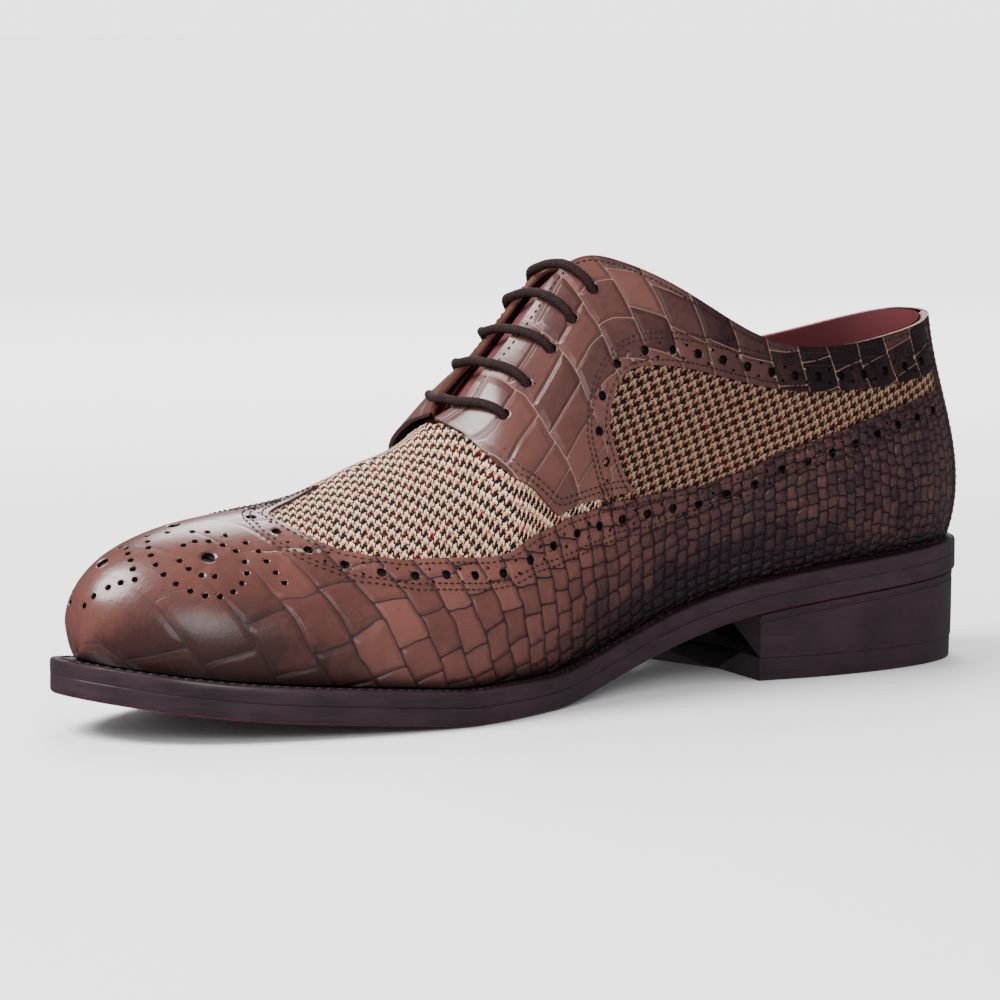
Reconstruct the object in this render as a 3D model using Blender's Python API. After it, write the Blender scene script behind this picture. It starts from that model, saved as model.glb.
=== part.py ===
"""Right-foot longwing brogue of leather and checked cloth, standing empty on its sole.

Sizes in the tables are millimetres.  s runs from the back of the heel to the toe, t sideways from
the centre line towards the named side, z up from the floor.  The toe points to -X and the medial
side, the inner side of the foot, to -Y.
"""
import functools
import math
from collections import namedtuple

import bmesh
import bpy
import numpy as np

MM = 0.001
MEDIAL = 1
LATERAL = -1
SIDES = (MEDIAL, LATERAL)

# Driving sizes
LENGTH = 305.0
OUTSOLE_THICK = 5.2
SOLE_EDGE = 9.6
GAP = 0.3
FOOT_GAP = 0.5
WALL = 2.5
CLOTH_STEP = 0.8
INSOLE_THICK = 3.0
TOP_LIFT = 6.6
TONGUE_THICK = 2.0
TONGUE_CLEAR = 1.1
LACE_RADIUS = 1.4
SIDE_SEGMENTS = 48

# Half widths of the sole edge
Edge = namedtuple("Edge", "s medial lateral")
SOLE_OUTLINE = (
    Edge(0, 0, 0), Edge(8, 20.8, 20.5), Edge(35, 33, 34), Edge(75, 32.8, 36.5), Edge(110, 27, 38),
    Edge(150, 33, 45), Edge(200, 50.5, 50), Edge(235, 48.6, 44.7), Edge(265, 41.3, 33.5),
    Edge(290, 29, 20.6), Edge(305, 0, 0))

# Height of the outsole's underside: heel seat, arch, flat tread, toe spring
Height = namedtuple("Height", "s z")
SOLE_UNDERSIDE = (
    Height(0, 27), Height(40, 24.5), Height(75, 21.5), Height(100, 17), Height(130, 8.5),
    Height(160, 1.0), Height(175, -0.4), Height(200, -0.3), Height(215, 0.9), Height(240, 3.0),
    Height(270, 5.9), Height(305, 11.4))

# How far the upper's foot stands in from the sole edge
Margin = namedtuple("Margin", "s inset")
WELT_MARGIN = (
    Margin(0, 3.2), Margin(75, 3.8), Margin(110, 3.2), Margin(150, 4.5), Margin(200, 6.5),
    Margin(265, 7.5), Margin(290, 7.2), Margin(305, 6.8))

# Upper edge of the wall: collar, top of the facings, throat, then the ridge over the forefoot.
# The lateral edge lies lower by its drop
Top = namedtuple("Top", "rib s medial lateral z drop")
TOP_LINE = (
    Top(0, 8, 0, 0, 104, 0), Top(3, 10.5, 8.5, 8.5, 103.7, 0), Top(12, 18, 17.5, 17.5, 102, 0.5),
    Top(35, 38, 24.5, 24.5, 98.5, 1.5), Top(60, 62, 28, 28.5, 96.2, 2.5),
    Top(80, 81, 29.5, 30, 97.8, 3), Top(95, 95, 28.5, 29, 103, 3),
    Top(108, 107, 25, 25.5, 110.5, 3), Top(120, 118, 19, 20, 117.7, 3),
    Top(130, 127, 12.5, 14, 122.2, 3), Top(138, 134.5, 8, 9.5, 124, 3),
    Top(145, 141, 6.2, 8, 122.2, 3), Top(158, 152.5, 6, 7.5, 111.4, 2.5),
    Top(170, 166, 6, 6.5, 96.8, 1.5), Top(176, 172.6, 6, 6, 90, 1), Top(180, 177.3, 5, 5, 84.2, 0.5),
    Top(184, 183, 0, 0, 79.2, 0), Top(200, 200, 0, 0, 70.8, 0), Top(220, 220, 0, 0, 63.6, 0),
    Top(235, 235, 0, 0, 59.2, 0), Top(250, 250, 0, 0, 57, 0), Top(268, 268, 0, 0, 54.6, 0),
    Top(281, 281, 0, 0, 51, 0), Top(292, 291.3, 0, 0, 45.5, 0), Top(298, 297, 0, 0, 39.5, 0),
    Top(302, 299.6, 0, 0, 33, 0), Top(305, 298.2, 0, 0, 21.5, 0))
THROAT = 184.0
HALF_THROAT = 6.0

# Roundness of a rib: outward bulge low down and its rise, then the shoulder's reach and drop
Rib = namedtuple("Rib", "s bulge rise shoulder drop")
RIBS = (
    Rib(0, 8, 0.36, 2.5, 0.35), Rib(35, 7.5, 0.34, 2.5, 0.35), Rib(75, 7.0, 0.33, 4, 0.33),
    Rib(110, 8.5, 0.34, 9, 0.30), Rib(135, 8.5, 0.36, 21, 0.20), Rib(155, 8, 0.36, 23, 0.17),
    Rib(178, 7, 0.40, 22.5, 0.08), Rib(200, 5.5, 0.42, 19.5, 0.03), Rib(240, 4.5, 0.44, 18, 0),
    Rib(268, 4.2, 0.45, 14.5, 0), Rib(290, 3.4, 0.5, 7.5, 0), Rib(305, 2.4, 0.5, 0, 0))

# Cloth lies between a lower and an upper edge, as shares of the rib from its foot to its top
Cloth = namedtuple("Cloth", "rib lower upper")
CLOTH = (
    Cloth(0, 0.69, 0.69), Cloth(3.0, 0.69, 0.69), Cloth(3.6, 0.66, 0.77), Cloth(24, 0.67, 0.77),
    Cloth(40, 0.67, 0.78), Cloth(65, 0.60, 0.80), Cloth(85, 0.53, 0.80), Cloth(94, 0.46, 0.79),
    Cloth(104, 0.41, 0.765), Cloth(112, 0.368, 0.737), Cloth(128, 0.335, 0.672),
    Cloth(136, 0.33, 0.64), Cloth(139, 0.365, 0.62), Cloth(142, 0.42, 0.59), Cloth(145, 0.52, 0.52),
    Cloth(150, 0.44, 0.44), Cloth(162, 0.38, 0.38), Cloth(166, 0.385, 0.40), Cloth(168, 0.385, 0.43),
    Cloth(173, 0.385, 0.50), Cloth(178, 0.388, 0.576), Cloth(181, 0.39, 0.66),
    Cloth(182.5, 0.392, 0.75), Cloth(183.3, 0.395, 0.85), Cloth(184, 0.395, 1), Cloth(198, 0.431, 1),
    Cloth(217, 0.479, 1), Cloth(222, 0.51, 1), Cloth(232, 0.579, 0.965), Cloth(238, 0.65, 0.94),
    Cloth(241.5, 0.74, 0.92), Cloth(243.5, 0.88, 0.88), Cloth(270, 0.75, 0.75),
    Cloth(305, 0.6, 0.6))

# Lace holes on each facing, from the throat up; a bar crosses the throat nearer the toe by the slant
Eyelet = namedtuple("Eyelet", "rib medial lateral")
EYELETS = (
    Eyelet(176, 19.5, 16.5), Eyelet(168, 17.8, 15.8), Eyelet(160, 16.6, 15.2),
    Eyelet(151.5, 15.6, 14.8), Eyelet(142, 14, 14.5))
LACE_SLANT = 5.0

# Heel: its breast is hollow in the middle, and the rubber piece fills the outer back corner
HEEL_BREAST = 89.0
BREAST_HOLLOW = 6.0
HEEL_INSET = 0.5
RUBBER_LENGTH = 50.0
RUBBER_REACH = 10.0

COLOURS = {
    "sole_leather": ((0.055, 0.022, 0.018), 0.35),
    "upper_leather": ((0.16, 0.07, 0.04), 0.38),
    "heel_rubber": ((0.012, 0.012, 0.013), 0.6),
    "lining_leather": ((0.11, 0.02, 0.022), 0.5),
    "lace_cotton": ((0.035, 0.02, 0.016), 0.7),
}


def turn(s):
    """Rib number 0..1 of a distance from the heel; ribs crowd together at heel and toe."""
    return np.arccos(np.clip(1 - 2 * np.asarray(s, float) / LENGTH, -1, 1)) / math.pi


def along(rib):
    """Distance from the heel of a rib number."""
    return LENGTH * (1 - np.cos(math.pi * np.asarray(rib, float))) / 2


@functools.lru_cache(maxsize=None)
def spline_knots(table, name, rounded):
    """Knots, values and second derivatives of the natural cubic spline through a table's column."""
    knots = np.array([row[0] for row in table], float)
    if rounded:
        knots = turn(knots)
    values = np.array([getattr(row, name) for row in table], float)
    step = np.diff(knots)
    slope = np.diff(values) / step
    matrix = np.eye(len(knots))
    right = np.zeros(len(knots))
    for i in range(1, len(knots) - 1):
        matrix[i, i - 1:i + 2] = step[i - 1], 2 * (step[i - 1] + step[i]), step[i]
        right[i] = 6 * (slope[i] - slope[i - 1])
    return knots, values, np.linalg.solve(matrix, right)


def spline(table, name, rounded, at):
    """Value of a table's column on its spline."""
    knots, values, bend = spline_knots(table, name, rounded)
    i = np.clip(np.searchsorted(knots, at) - 1, 0, len(knots) - 2)
    step = knots[i + 1] - knots[i]
    past = (at - knots[i]) / step
    left = 1 - past
    curve = (left ** 3 - left) * bend[i] + (past ** 3 - past) * bend[i + 1]
    return left * values[i] + past * values[i + 1] + curve * step ** 2 / 6


def by_rib(table, name, rib):
    """Table value at a rib number, smooth round the heel and the toe."""
    return spline(table, name, True, rib)


def by_length(table, name, s):
    """Table value at a distance from the heel."""
    return spline(table, name, False, np.clip(s, 0, LENGTH))


def side_name(side):
    """Column name of a side."""
    return "medial" if side == MEDIAL else "lateral"


def underside(s):
    """Height of the outsole's underside, flat where it treads."""
    return np.maximum(by_length(SOLE_UNDERSIDE, "z", s), 0)


def edge_width(rib, side):
    """Half width of the sole edge at a rib."""
    return by_rib(SOLE_OUTLINE, side_name(side), rib)


def sole_edge(rib, side, inset=0.0):
    """Point (s, t) of the sole edge moved in by an inset, and its outward direction."""
    low = np.clip(rib - 1e-4, 0, 1)
    high = np.clip(rib + 1e-4, 0, 1)
    run = along(high) - along(low)
    rise = edge_width(high, side) - edge_width(low, side)
    size = np.hypot(run, rise)
    out_s = -rise / size
    out_t = run / size
    return along(rib) - out_s * inset, edge_width(rib, side) - out_t * inset, out_s, out_t


def rib_points(rib, side):
    """The four control points (s, t, z) of a rib, from its foot to its top."""
    foot_s, foot_t, out_s, out_t = sole_edge(rib, side, by_length(WELT_MARGIN, "inset", along(rib)))
    foot_z = underside(foot_s) + SOLE_EDGE + FOOT_GAP
    top_s = by_rib(TOP_LINE, "s", rib)
    top_t = np.maximum(by_rib(TOP_LINE, side_name(side), rib), 0)
    top_z = by_rib(TOP_LINE, "z", rib)
    if side == LATERAL:
        top_z = top_z - np.where(along(rib) < THROAT, by_rib(TOP_LINE, "drop", rib), 0)
    bulge, rise, shoulder, drop = (by_rib(RIBS, name, rib) for name in ("bulge", "rise", "shoulder", "drop"))
    height = top_z - foot_z
    ahead = np.clip((along(rib) - 30) / 50, 0, 1)
    ahead = ahead * ahead * (3 - 2 * ahead)
    side_s = out_s * (1 - ahead)
    side_t = out_t * (1 - ahead) + ahead
    reach = shoulder / np.hypot(side_s, side_t)
    reach = reach * (1 - ahead + ahead * np.clip(foot_t / HALF_THROAT, 0, 1))
    shoulder_t = np.maximum(top_t, np.minimum(foot_t, HALF_THROAT))
    return [(foot_s, foot_t, foot_z),
            (foot_s + out_s * bulge, foot_t + out_t * bulge, foot_z + rise * height),
            (top_s + side_s * reach, shoulder_t + side_t * reach, top_z - drop * height),
            (top_s, top_t, top_z)]


def surface(rib, share, side):
    """Point (s, t, z) of the shoe's outer form at a share of a rib."""
    weights = ((1 - share) ** 3, 3 * share * (1 - share) ** 2, 3 * share ** 2 * (1 - share), share ** 3)
    points = rib_points(rib, side)
    return np.array([sum(w * p[axis] for w, p in zip(weights, points)) for axis in range(3)])


def one_side_normal(rib, share, side):
    """Outward direction of the form, from its own slopes."""
    rib = min(max(rib, 0.012), 0.985)
    share = min(max(share, 0.01), 0.99)
    across = surface(rib, share + 0.004, side) - surface(rib, share - 0.004, side)
    forward = surface(rib + 0.003, share, side) - surface(rib - 0.003, share, side)
    direction = np.cross(across, forward)
    return direction / np.linalg.norm(direction)


def normal(rib, share, side):
    """Outward direction, the same from both sides on the centre line."""
    direction = one_side_normal(rib, share, side)
    if rib > 0.999:
        return np.array([1.0, 0.0, 0.0])
    if rib < 0.001 or (share > 0.999 and along(rib) > THROAT - 0.01):
        direction = direction + one_side_normal(rib, share, -side)
        direction[1] = 0
        direction = direction / np.linalg.norm(direction)
    return direction


def skin(rib, share, side, offset):
    """Point on a copy of the form moved out by an offset, its foot kept just above the welt."""
    point = surface(rib, share, side) + normal(rib, share, side) * offset
    if rib < 0.001 or rib > 0.999 or (share > 0.999 and along(rib) > THROAT - 0.01):
        point[1] = 0
    floor = underside(point[0]) + SOLE_EDGE + FOOT_GAP
    point[2] = floor if share < 0.001 else max(point[2], floor)
    return point


CENTRE = (max(edge_width(np.linspace(0, 1, 400), MEDIAL)) - max(edge_width(np.linspace(0, 1, 400), LATERAL))) / 2


def place(s, t, z, side):
    """Metres in the part's frame."""
    return ((LENGTH / 2 - s) * MM, (CENTRE - side * t) * MM, z * MM)


def strip_faces(grid):
    """Quads of a grid of points."""
    faces = []
    for row, after in zip(grid, grid[1:]):
        for i in range(len(row) - 1):
            faces.append((row[i], row[i + 1], after[i + 1], after[i]))
    return faces


def rim_faces(one, other):
    """Quads that join two lines of points."""
    return [(one[i], one[i + 1], other[i + 1], other[i]) for i in range(len(one) - 1)]


def outline_of(grid):
    """Closed border line of a grid of points."""
    return grid[0] + [row[-1] for row in grid[1:]] + grid[-1][-2::-1] + [row[0] for row in grid[-2::-1]]


def slab_faces(low, high):
    """Closed body between two grids of points."""
    return strip_faces(low) + strip_faces(high) + rim_faces(outline_of(low), outline_of(high))


def material(slot):
    """Plain material of a slot."""
    found = bpy.data.materials.get(slot)
    if found:
        return found
    colour, roughness = COLOURS[slot]
    made = bpy.data.materials.new(slot)
    made.use_nodes = True
    shader = made.node_tree.nodes["Principled BSDF"]
    shader.inputs["Base Color"].default_value = (*colour, 1)
    shader.inputs["Roughness"].default_value = roughness
    made.diffuse_color = (*colour, 1)
    return made


def body(name, faces, slot, smooth=True):
    """Closed object of faces given by their corner points."""
    mesh = bmesh.new()
    known = {}
    for corners in faces:
        ring = []
        for corner in corners:
            key = tuple(round(value * 1e6) for value in corner)
            if key not in known:
                known[key] = mesh.verts.new(corner)
            if known[key] not in ring:
                ring.append(known[key])
        if len(ring) > 2 and mesh.faces.get(ring) is None:
            mesh.faces.new(ring)
    bmesh.ops.triangulate(mesh, faces=mesh.faces)
    bmesh.ops.recalc_face_normals(mesh, faces=mesh.faces)
    if mesh.calc_volume(signed=True) < 0:
        bmesh.ops.reverse_faces(mesh, faces=mesh.faces)
    for face in mesh.faces:
        face.smooth = smooth
    data = bpy.data.meshes.new(name)
    mesh.to_mesh(data)
    mesh.free()
    data.materials.append(material(slot))
    made = bpy.data.objects.new(name, data)
    bpy.context.scene.collection.objects.link(made)
    if smooth:
        data.set_sharp_from_angle(angle=math.radians(32))
    return made


def sole_plate(name, inset, low, high, slot):
    """Plate inside the sole edge, with its lower and upper face a height above the underside."""
    grids = []
    for height in (low, high):
        grid = []
        for rib in np.linspace(0, 1, SIDE_SEGMENTS + 1):
            s, t = sole_edge(rib, MEDIAL, inset)[:2]
            far_s, far_t = sole_edge(rib, LATERAL, inset)[:2]
            grid.append([place(s, t, underside(s) + height, MEDIAL),
                         place(far_s, far_t, underside(far_s) + height, LATERAL)])
        grids.append(grid)
    return body(name, slab_faces(*grids), slot)


def sole_ring(inset, height):
    """Closed line round the shoe inside the sole edge."""
    line = []
    ribs = np.linspace(0, 1, SIDE_SEGMENTS + 1)
    for side, order in ((MEDIAL, ribs), (LATERAL, ribs[::-1])):
        for rib in order:
            s, t = sole_edge(rib, side, inset)[:2]
            line.append(place(s, t, underside(s) + height, side))
    return line + line[:1]


def make_welt():
    """Welt: a flat strip all round on the outsole."""
    low = OUTSOLE_THICK + GAP
    width = 15.0
    loops = [sole_ring(0, low), sole_ring(0, SOLE_EDGE), sole_ring(width, SOLE_EDGE), sole_ring(width, low)]
    faces = []
    for one, other in zip(loops, loops[1:] + loops[:1]):
        faces += rim_faces(one, other)
    return body("welt", faces, "sole_leather")


def make_insole():
    """Insole inside the upper's foot."""
    base = SOLE_EDGE + GAP
    grids = []
    for height in (base, base + INSOLE_THICK):
        grid = []
        for rib in np.linspace(0, 1, SIDE_SEGMENTS + 1):
            row = []
            for side in SIDES:
                inset = by_length(WELT_MARGIN, "inset", along(rib)) + WALL + 2 * GAP
                s, t = sole_edge(rib, side, inset)[:2]
                row.append(place(s, t, underside(s) + height, side))
            grid.append(row)
        grids.append(grid)
    return body("insole", slab_faces(*grids), "lining_leather")


def cloth_edges(rib):
    """Lower and upper edge of the cloth at a rib, as shares of it."""
    knots = [row.rib for row in CLOTH]
    lower = np.interp(along(rib), knots, [row.lower for row in CLOTH])
    upper = np.interp(along(rib), knots, [row.upper for row in CLOTH])
    return float(lower), float(upper)


def upper_ribs():
    """Rib numbers of the upper: even ones, and one at each corner of the cloth."""
    corners = list(turn([row.rib for row in CLOTH]))
    even = [rib for rib in np.linspace(0, 1, SIDE_SEGMENTS + 1) if min(abs(rib - c) for c in corners) > 0.009]
    return sorted(corners + even)


def rib_shares(rib):
    """(share, offset) down a rib: leather, a step to the cloth, a step back to leather."""
    lower, upper = cloth_edges(rib)
    cloth = 0.0 if upper - lower < 1e-6 else -CLOTH_STEP
    above = -CLOTH_STEP if upper > 0.999 else 0.0
    line = [(lower * i / 6, 0.0) for i in range(7)]
    line += [(lower + (upper - lower) * i / 6, cloth) for i in range(7)]
    line += [(upper + (1 - upper) * i / 4, above) for i in range(5)]
    return line


def make_upper():
    """Upper: one wall, open at the collar, the throat and underneath."""
    faces = []
    for side in SIDES:
        outer = []
        inner = []
        for rib in upper_ribs():
            line = rib_shares(rib)
            outer.append([place(*skin(rib, share, side, offset), side) for share, offset in line])
            inner.append([place(*skin(rib, share, side, -WALL), side) for share, _ in line])
        faces += strip_faces(outer) + strip_faces(inner)
        faces += rim_faces([row[0] for row in outer], [row[0] for row in inner])
        open_rows = sum(along(rib) < THROAT + 0.01 for rib in upper_ribs())
        faces += rim_faces([row[-1] for row in outer[:open_rows]], [row[-1] for row in inner[:open_rows]])
    return body("upper", faces, "upper_leather")


def tongue_section(place_along, offset, columns):
    """Points of the tongue from the medial flank over the gap to the lateral flank."""
    line = []
    for i in range(-columns, columns + 1):
        side = MEDIAL if i < 0 else LATERAL
        reach = abs(i) / columns
        rib = turn(place_along + 5.0 * reach ** 2)
        if i == 0:
            left = surface(rib, 1.0, MEDIAL) + one_side_normal(rib, 1.0, MEDIAL) * offset
            line.append(place(left[0], 0, left[2] + 0.4, MEDIAL))
            continue
        point = surface(rib, 1 - 0.24 * (reach * columns - 1) / (columns - 1), side)
        point = point + one_side_normal(rib, 1 - 0.24 * (reach * columns - 1) / (columns - 1), side) * offset
        line.append(place(point[0], max(point[1], 1.0), point[2], side))
    return line


def make_tongue():
    """Tongue: a bent leather sheet under the facings and the gap between them."""
    top = -WALL - TONGUE_CLEAR
    sheets = [[tongue_section(s, offset, 6) for s in np.linspace(132, 196, 12)]
              for offset in (top, top - TONGUE_THICK)]
    return body("tongue", slab_faces(*sheets), "lining_leather")


def tube_faces(path, radius, sides=8):
    """Faces of a round tube with closed ends along a path of points."""
    path = [np.array(point) for point in path]
    rings = []
    for i, point in enumerate(path):
        ahead = path[min(i + 1, len(path) - 1)] - path[max(i - 1, 0)]
        ahead = ahead / np.linalg.norm(ahead)
        level = np.cross(ahead, (0, 0, 1))
        if np.linalg.norm(level) < 0.3:
            level = np.cross(ahead, (0, 1, 0))
        level = level / np.linalg.norm(level)
        upright = np.cross(level, ahead)
        angles = [2 * math.pi * k / sides for k in range(sides)]
        rings.append([tuple(point + radius * (math.cos(a) * level + math.sin(a) * upright)) for a in angles])
    faces = [tuple(rings[0]), tuple(rings[-1])]
    for ring, after in zip(rings, rings[1:]):
        faces += rim_faces(ring + ring[:1], after + after[:1])
    return faces


def share_at(rib, side, half_width):
    """Share of a rib, in its upper part, that stands a half width from the centre line."""
    low, high = 0.55, 1.0
    for _ in range(30):
        middle = (low + high) / 2
        if surface(rib, middle, side)[1] > half_width:
            low = middle
        else:
            high = middle
    return high


def lace_bar(eyelet):
    """Path of one bar: from eyelet to eyelet, square to the facings' edges and over the gap."""
    ends = []
    for side in SIDES:
        share = share_at(turn(eyelet.rib), side, getattr(eyelet, side_name(side)))
        points = []
        for step in (0.0, 0.5, 1.0):
            rib = turn(eyelet.rib + LACE_SLANT * step)
            at = share + (1 - share) * step
            point = surface(rib, at, side) + one_side_normal(rib, at, side) * (GAP + LACE_RADIUS)
            points.append(place(*point, side))
        ends.append(points)
    medial, lateral = ends
    crown = (np.array(medial[-1]) + np.array(lateral[-1])) / 2 + np.array((0, 0, 0.4 * MM))
    return medial + [tuple(crown)] + lateral[::-1]


def make_lace():
    """Lace: five straight bars, joined under their middles in the gap."""
    bars = [lace_bar(eyelet) for eyelet in EYELETS]
    run = [np.array(bar[len(bar) // 2]) - np.array((0, 0, 0.8 * MM)) for bar in bars]
    lace = body("lace", tube_faces(run, 1.0 * MM), "lace_cotton")
    for number, bar in enumerate(bars):
        piece = body(f"bar_{number}", tube_faces(bar, LACE_RADIUS * MM), "lace_cotton")
        join = lace.modifiers.new("join", "BOOLEAN")
        join.operation = "UNION"
        join.solver = "EXACT"
        join.object = piece
        piece.hide_render = True
        piece.display_type = "WIRE"
    return lace


def heel_grid(height, inset, first=0.0, last=1.0, lateral_from=None):
    """Grid across the heel from its back to its breast; height is a number or a function of s."""
    grid = []
    for step in np.linspace(first, last, 15):
        row = []
        rib = turn(HEEL_BREAST) * step
        s_edge = [sole_edge(rib, side, inset)[:2] for side in SIDES]
        for across in np.linspace(-1, 1, 9):
            side = MEDIAL if across < 0 else LATERAL
            s, t = s_edge[0 if side == MEDIAL else 1]
            s = s - BREAST_HOLLOW * (1 - across ** 2) * step ** 3
            z = height(s) if callable(height) else height
            row.append(place(s, t * abs(across), z, side))
        grid.append(row)
    return grid


def rubber_cutter(name, side):
    """Box whose one face is the rubber's straight edge, lying on the other piece's side of it."""
    start = np.array(place(RUBBER_LENGTH, edge_width(turn(RUBBER_LENGTH), LATERAL), 0, LATERAL))
    end = np.array(place(0, RUBBER_REACH, 0, MEDIAL))
    forward = (end - start) / np.linalg.norm(end - start)
    outward = np.cross(forward, (0, 0, 1)) * (-1 if side == MEDIAL else 1)
    near = [start - forward * 0.05 + outward * -GAP * 0.5 * MM, end + forward * 0.05 + outward * -GAP * 0.5 * MM]
    corners = near + [near[1] + outward * 0.15, near[0] + outward * 0.15]
    low = [tuple(corner + np.array((0, 0, -0.01))) for corner in corners]
    high = [tuple(corner + np.array((0, 0, 0.03))) for corner in corners]
    box = body(name, [tuple(low), tuple(high)] + rim_faces(low + low[:1], high + high[:1]), "sole_leather", smooth=False)
    box.hide_render = True
    box.display_type = "WIRE"
    return box


def make_heel():
    """Heel stack, and under it the top lift with a rubber piece at the outer back corner."""
    def stack_top(s):
        return underside(s) - GAP
    body("heel_stack", slab_faces(heel_grid(TOP_LIFT + GAP, HEEL_INSET + 0.6), heel_grid(stack_top, HEEL_INSET)),
         "sole_leather")
    low, high = (heel_grid(height, HEEL_INSET + 1.0 - 0.3 * share) for share, height in enumerate((0.0, TOP_LIFT)))
    for name, slot, side in (("top_lift", "sole_leather", MEDIAL), ("heel_rubber", "heel_rubber", LATERAL)):
        piece = body(name, slab_faces(low, high), slot, smooth=False)
        cut = piece.modifiers.new("cut", "BOOLEAN")
        cut.operation = "DIFFERENCE"
        cut.solver = "EXACT"
        cut.object = rubber_cutter(f"{name}_cutter", side)


def clear_scene():
    """Remove what the scene holds."""
    for found in list(bpy.data.objects):
        bpy.data.objects.remove(found)


def main():
    """Build the shoe."""
    clear_scene()
    sole_plate("outsole", 0.0, 0.0, OUTSOLE_THICK, "sole_leather")
    make_welt()
    make_heel()
    make_insole()
    make_upper()
    make_tongue()
    make_lace()


main()
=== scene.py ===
"""Dress a right-foot longwing brogue: embossed leather over checked cloth on a welted leather sole.

Lengths in the tables are millimetres.  s runs from the back of the heel to the toe, t sideways from
the centre line towards the named side, z up from the floor.  A place on the upper is a rib, numbered
0 at the heel and 1 at the toe, and a share of that rib from its foot (0) to its top (1).  The flat
pattern gives the same place as s and h, the height in millimetres measured along the rib.
"""

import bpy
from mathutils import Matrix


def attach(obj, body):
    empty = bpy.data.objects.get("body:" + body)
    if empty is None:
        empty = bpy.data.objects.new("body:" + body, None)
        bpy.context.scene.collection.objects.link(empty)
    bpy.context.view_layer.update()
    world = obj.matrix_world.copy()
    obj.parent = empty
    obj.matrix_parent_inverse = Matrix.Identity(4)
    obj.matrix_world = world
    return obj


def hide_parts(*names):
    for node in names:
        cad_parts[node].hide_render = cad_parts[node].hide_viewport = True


bl_info = {
    "name": "Longwing brogue",
    "version": (1, 0, 0),
    "blender": (4, 5, 0),
    "location": "3D View > Sidebar > Brogue",
    "description": "Leather, cloth, laces, stitching and sole of a right-foot longwing brogue",
    "category": "Object",
}

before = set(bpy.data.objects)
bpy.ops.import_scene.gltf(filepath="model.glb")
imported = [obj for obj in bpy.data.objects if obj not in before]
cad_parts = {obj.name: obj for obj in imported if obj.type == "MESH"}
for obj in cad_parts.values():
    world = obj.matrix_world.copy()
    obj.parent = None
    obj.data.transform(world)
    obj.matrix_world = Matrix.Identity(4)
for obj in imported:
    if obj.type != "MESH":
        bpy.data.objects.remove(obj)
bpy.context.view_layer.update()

import functools
import math
from collections import namedtuple

import bmesh
import bpy
import numpy as np
from mathutils import Matrix, Vector

MM = 0.001
MEDIAL = 1
LATERAL = -1
SIDES = (MEDIAL, LATERAL)

# Driving sizes, as in the solids
LENGTH = 305.0
OUTSOLE_THICK = 5.2
SOLE_EDGE = 9.6
GAP = 0.3
FOOT_GAP = 0.5
TOP_LIFT = 6.6
THROAT = 184.0
HALF_THROAT = 6.0
HEEL_BREAST = 89.0
BREAST_HOLLOW = 6.0
HEEL_INSET = 0.5
RUBBER_LENGTH = 50.0
RUBBER_REACH = 10.0
CLOTH_LIFT = -0.8
LINING_LIFT = -2.4

# Half widths of the sole edge
Edge = namedtuple("Edge", "s medial lateral")
SOLE_OUTLINE = (
    Edge(0, 0, 0), Edge(8, 20.8, 20.5), Edge(35, 33, 34), Edge(75, 32.8, 36.5), Edge(110, 27, 38),
    Edge(150, 33, 45), Edge(200, 50.5, 50), Edge(235, 48.6, 44.7), Edge(265, 41.3, 33.5),
    Edge(290, 29, 20.6), Edge(305, 0, 0))

# Height of the outsole's underside
Height = namedtuple("Height", "s z")
SOLE_UNDERSIDE = (
    Height(0, 27), Height(40, 24.5), Height(75, 21.5), Height(100, 17), Height(130, 8.5),
    Height(160, 1.0), Height(175, -0.4), Height(200, -0.3), Height(215, 0.9), Height(240, 3.0),
    Height(270, 5.9), Height(305, 11.4))

# How far the upper's foot stands in from the sole edge
Margin = namedtuple("Margin", "s inset")
WELT_MARGIN = (
    Margin(0, 3.2), Margin(75, 3.8), Margin(110, 3.2), Margin(150, 4.5), Margin(200, 6.5),
    Margin(265, 7.5), Margin(290, 7.2), Margin(305, 6.8))

# Upper edge of the wall: collar, top of the facings, throat, then the ridge over the forefoot
Top = namedtuple("Top", "rib s medial lateral z drop")
TOP_LINE = (
    Top(0, 8, 0, 0, 104, 0), Top(3, 10.5, 8.5, 8.5, 103.7, 0), Top(12, 18, 17.5, 17.5, 102, 0.5),
    Top(35, 38, 24.5, 24.5, 98.5, 1.5), Top(60, 62, 28, 28.5, 96.2, 2.5),
    Top(80, 81, 29.5, 30, 97.8, 3), Top(95, 95, 28.5, 29, 103, 3),
    Top(108, 107, 25, 25.5, 110.5, 3), Top(120, 118, 19, 20, 117.7, 3),
    Top(130, 127, 12.5, 14, 122.2, 3), Top(138, 134.5, 8, 9.5, 124, 3),
    Top(145, 141, 6.2, 8, 122.2, 3), Top(158, 152.5, 6, 7.5, 111.4, 2.5),
    Top(170, 166, 6, 6.5, 96.8, 1.5), Top(176, 172.6, 6, 6, 90, 1), Top(180, 177.3, 5, 5, 84.2, 0.5),
    Top(184, 183, 0, 0, 79.2, 0), Top(200, 200, 0, 0, 70.8, 0), Top(220, 220, 0, 0, 63.6, 0),
    Top(235, 235, 0, 0, 59.2, 0), Top(250, 250, 0, 0, 57, 0), Top(268, 268, 0, 0, 54.6, 0),
    Top(281, 281, 0, 0, 51, 0), Top(292, 291.3, 0, 0, 45.5, 0), Top(298, 297, 0, 0, 39.5, 0),
    Top(302, 299.6, 0, 0, 33, 0), Top(305, 298.2, 0, 0, 21.5, 0))

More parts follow.
